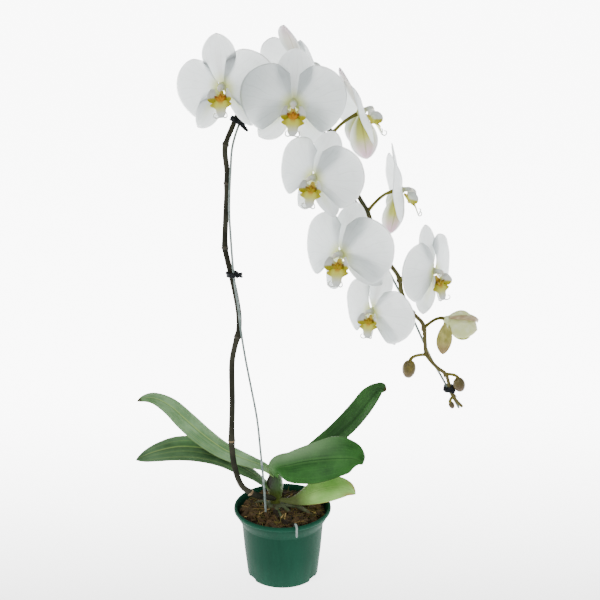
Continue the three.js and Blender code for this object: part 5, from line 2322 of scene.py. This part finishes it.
@dataclass
class HalfOpenBloom(Flower):
    """The half-open bloom: four tepals still cupped over each other, and one that has let go.

    Each cup has its angle from the top in degrees, how far out its foot lies, and how far it bellies out.
    """

    centre: Point = (186.0, -30.0, 332.0)
    faces: Pair = (96.0, -24.0)
    lean: float = 8.0
    size: float = 1.0
    length: float = 35.0
    half_width: float = 15.0
    start: float = 38.2
    top_cup: Point = (0, 3.2, 15)
    cups: tuple[Point, ...] = ((75, 1.6, 13), (-75, 1.6, 13), (150, 3.2, 12))
    loose: SepalShape = SepalShape(40.25, 9, -8, 3.4, 152, -50)
    top_finish: BudFinish = BudFinish(
        "half_open_top", srgb(150, 124, 84), srgb(186, 170, 128), srgb(176, 158, 128), 0.6, 0.6
    )
    loose_finish: BudFinish = BudFinish(
        "half_open_loose", srgb(138, 134, 58), srgb(178, 172, 100), srgb(160, 128, 100), 0.6, 0.7
    )
    finish: BudFinish = BudFinish(
        "half_open_skin", srgb(208, 218, 150), srgb(226, 234, 192), srgb(206, 190, 156), 0.75, 0.35
    )

    def cupped(self, angle: float, lift: float, opened: float) -> Piece:
        """One tepal that still cups the middle.

        Args:
            angle: where it grows, in degrees from the top.
            lift: how far out its foot lies.
            opened: how far it bellies out.

        Returns:
            The tepal.
        """
        axis = radians(angle)

        def middle(v: float, share: float) -> Vector:
            """A point on the tepal's middle surface."""
            full = max(sin(pi * share**0.9), 0) ** 0.6
            half = max(self.half_width * full, lerp(3.0, 0.8, share))
            out = lift + opened * sin(pi / 2 * share) - 0.35 * opened * share**3
            hug = out * (1 - 0.28 * v * v)
            return Vector((
                hug * sin(axis) + v * half * cos(axis),
                hug * cos(axis) - v * half * sin(axis),
                self.length * share - 4,
            ))

        return blade("cupped", middle, lambda v, s: 0.95, 40, 24, -1)

    def build(self) -> None:
        """Builds the bloom."""
        parts = [
            dress(self.cupped(*self.top_cup), self.top_finish),
            dress(self.sepal(Side.LEFT, self.loose), self.loose_finish),
        ]
        for part in [*(self.cupped(*cup) for cup in self.cups), self.hub()]:
            parts.append(dress(part, self.finish))
        piece = join("half_open_tepals", parts)
        settle(piece, "half_open", "bloom_half_open", matrix=self.matrix())


@dataclass
class Bud:
    """A closed bud: three sepals folded edge to edge.

    Its tip is the way that it points, and its blunt end is fuller for a lower power.
    """

    name: str
    centre: Point
    tip: Point
    length: float
    width: float
    start: float
    finish: BudFinish
    fullness: float = 0.46

    def facing(self) -> Vector:
        """The way that its tip points."""
        return Vector(self.tip).normalized()

    def back(self) -> Vector:
        """Where its stalk meets it, a little inside its foot."""
        return Vector(self.centre) - self.facing() * (self.length * 0.46)

    def build(self) -> None:
        """Builds the bud, with a groove where two sepals meet and a blunt tip."""

        def place(turn: float, share: float) -> Vector:
            """A point on the bud's skin."""
            angle = TURN * turn
            radius = self.width / 2 * max(sin(pi * share**0.85), 0) ** self.fullness
            seam = exp(-((sin(1.5 * angle) / 0.22) ** 2)) * ease(0.0, 0.25, share)
            lobed = radius * (1 + 0.06 * cos(3 * angle + pi) - 0.07 * seam)
            return polar(lobed, turn, self.length * (share - 0.5))

        piece = loft(f"{self.name}_skin", place, 48, 24)
        dress(piece, self.finish)
        settle(piece, "bud", self.name, matrix=standing_matrix(self.centre, self.facing()))


OLIVE_BUD = BudFinish("olive_bud", srgb(78, 68, 18), srgb(116, 104, 36), srgb(88, 56, 26), 0.4, 0.5)
BROWN_BUD = BudFinish("brown_bud", srgb(66, 58, 18), srgb(96, 84, 32), srgb(74, 40, 18), 0.3, 0.7)

BUDS = (
    Bud("bud_1", (142.5, -32, 275), (-0.12, -0.1, -1), 21, 15, 40, OLIVE_BUD),
    Bud("bud_2", (199.5, -33, 256.5), (0.25, -0.1, -1), 17, 13.5, 42, BROWN_BUD),
    Bud("bud_3", (191.5, -35, 232.5), (0.45, -0.1, -1), 9, 6.5, 43.8, BROWN_BUD),
)

TIES = (
    Tie("tie_middle", 13.2, ((6.4, -3, 0.4),), cord=1.05, gap=1.0, flare=0.5, lay=1.9),
    Tie("tie_top", 21.7, ((7.4, -4.2, -6.6), (-3.6, -2.5, 2.5)), cord=1.15, flare=-0.8, lay=1.25),
    Tie(
        "tie_tip", 43.2, ((-3.6, -3.2, 0.6), (3, -3.6, -0.8)),
        turns=3.6, cord=1.2, gap=1.1, flare=-0.4, lay=1.2,
    ),
)


# ---- the studio


@dataclass
class Studio:
    """A plain pale floor, soft light and a camera at the photograph's angle.

    Places and sizes are in metres. Each lamp has its place, its size and its watts.
    """

    camera_place: Point = (0.0207, -1.4818, 0.8703)
    camera_tilt: float = 70.5
    lens: float = 84.0
    sensor: float = 36.0
    floor_size: float = 24.0
    sky: float = 0.75
    lamps: tuple[tuple[Point, float, float], ...] = (
        ((-1.2, -1.4, 1.9), 0.9, 24), ((1.6, -1.0, 1.2), 1.4, 6), ((0.2, 1.5, 1.6), 1.4, 8),
    )
    lit: Point = (0, 0, 0.3)

    def camera(self) -> None:
        """Adds the camera."""
        bpy.ops.object.camera_add(location=self.camera_place, rotation=(radians(self.camera_tilt), 0, 0))
        camera = bpy.context.object
        camera.data.lens = self.lens
        camera.data.sensor_width = self.sensor
        bpy.context.scene.camera = camera

    def floor(self) -> None:
        """Adds the floor."""
        bpy.ops.mesh.primitive_plane_add(size=self.floor_size)
        floor = bpy.context.object
        floor.name = "floor"
        dress(floor, FloorFinish())

    def lamp(self, place: Point, size: float, watts: float) -> None:
        """Adds one soft square light that looks at the plant.

        Args:
            place: where it stands, in metres.
            size: its width in metres.
            watts: its power.
        """
        bpy.ops.object.light_add(type="AREA", location=place)
        lamp = bpy.context.object
        lamp.data.size = size
        lamp.data.energy = watts
        lamp.rotation_euler = (Vector(self.lit) - Vector(place)).to_track_quat("-Z", "Y").to_euler()

    def build(self) -> None:
        """Sets up the studio."""
        deselect()
        self.camera()
        self.floor()
        for lamp in self.lamps:
            self.lamp(*lamp)
        world = bpy.data.worlds.new("pale_studio")
        world.use_nodes = True
        background = world.node_tree.nodes["Background"]
        background.inputs["Color"].default_value = (1.0, 1.0, 1.0, 1.0)
        background.inputs["Strength"].default_value = self.sky
        bpy.context.scene.world = world


def main() -> None:
    """Builds every piece of the plant, in order."""
    logging.basicConfig(level=logging.INFO, format="%(message)s")
    log.info("dressing %d solids", len(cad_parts))
    Studio().build()
    deselect()
    Pot().build()
    BarkBed().build()
    Crown().build()
    for leaf in LEAVES:
        leaf.build()
    Roots().build()
    spike = Spike()
    half_open = HalfOpenBloom()
    flowers = (*BLOOMS, half_open, *BUDS)
    spike.build([(flower.start, flower.back(), flower.facing()) for flower in flowers])
    SupportWire().build()
    for tie in TIES:
        tie.build(spike)
    for bloom in BLOOMS:
        bloom.build()
    half_open.build()
    for bud in BUDS:
        bud.build()


if __name__ == "__main__":
    main()
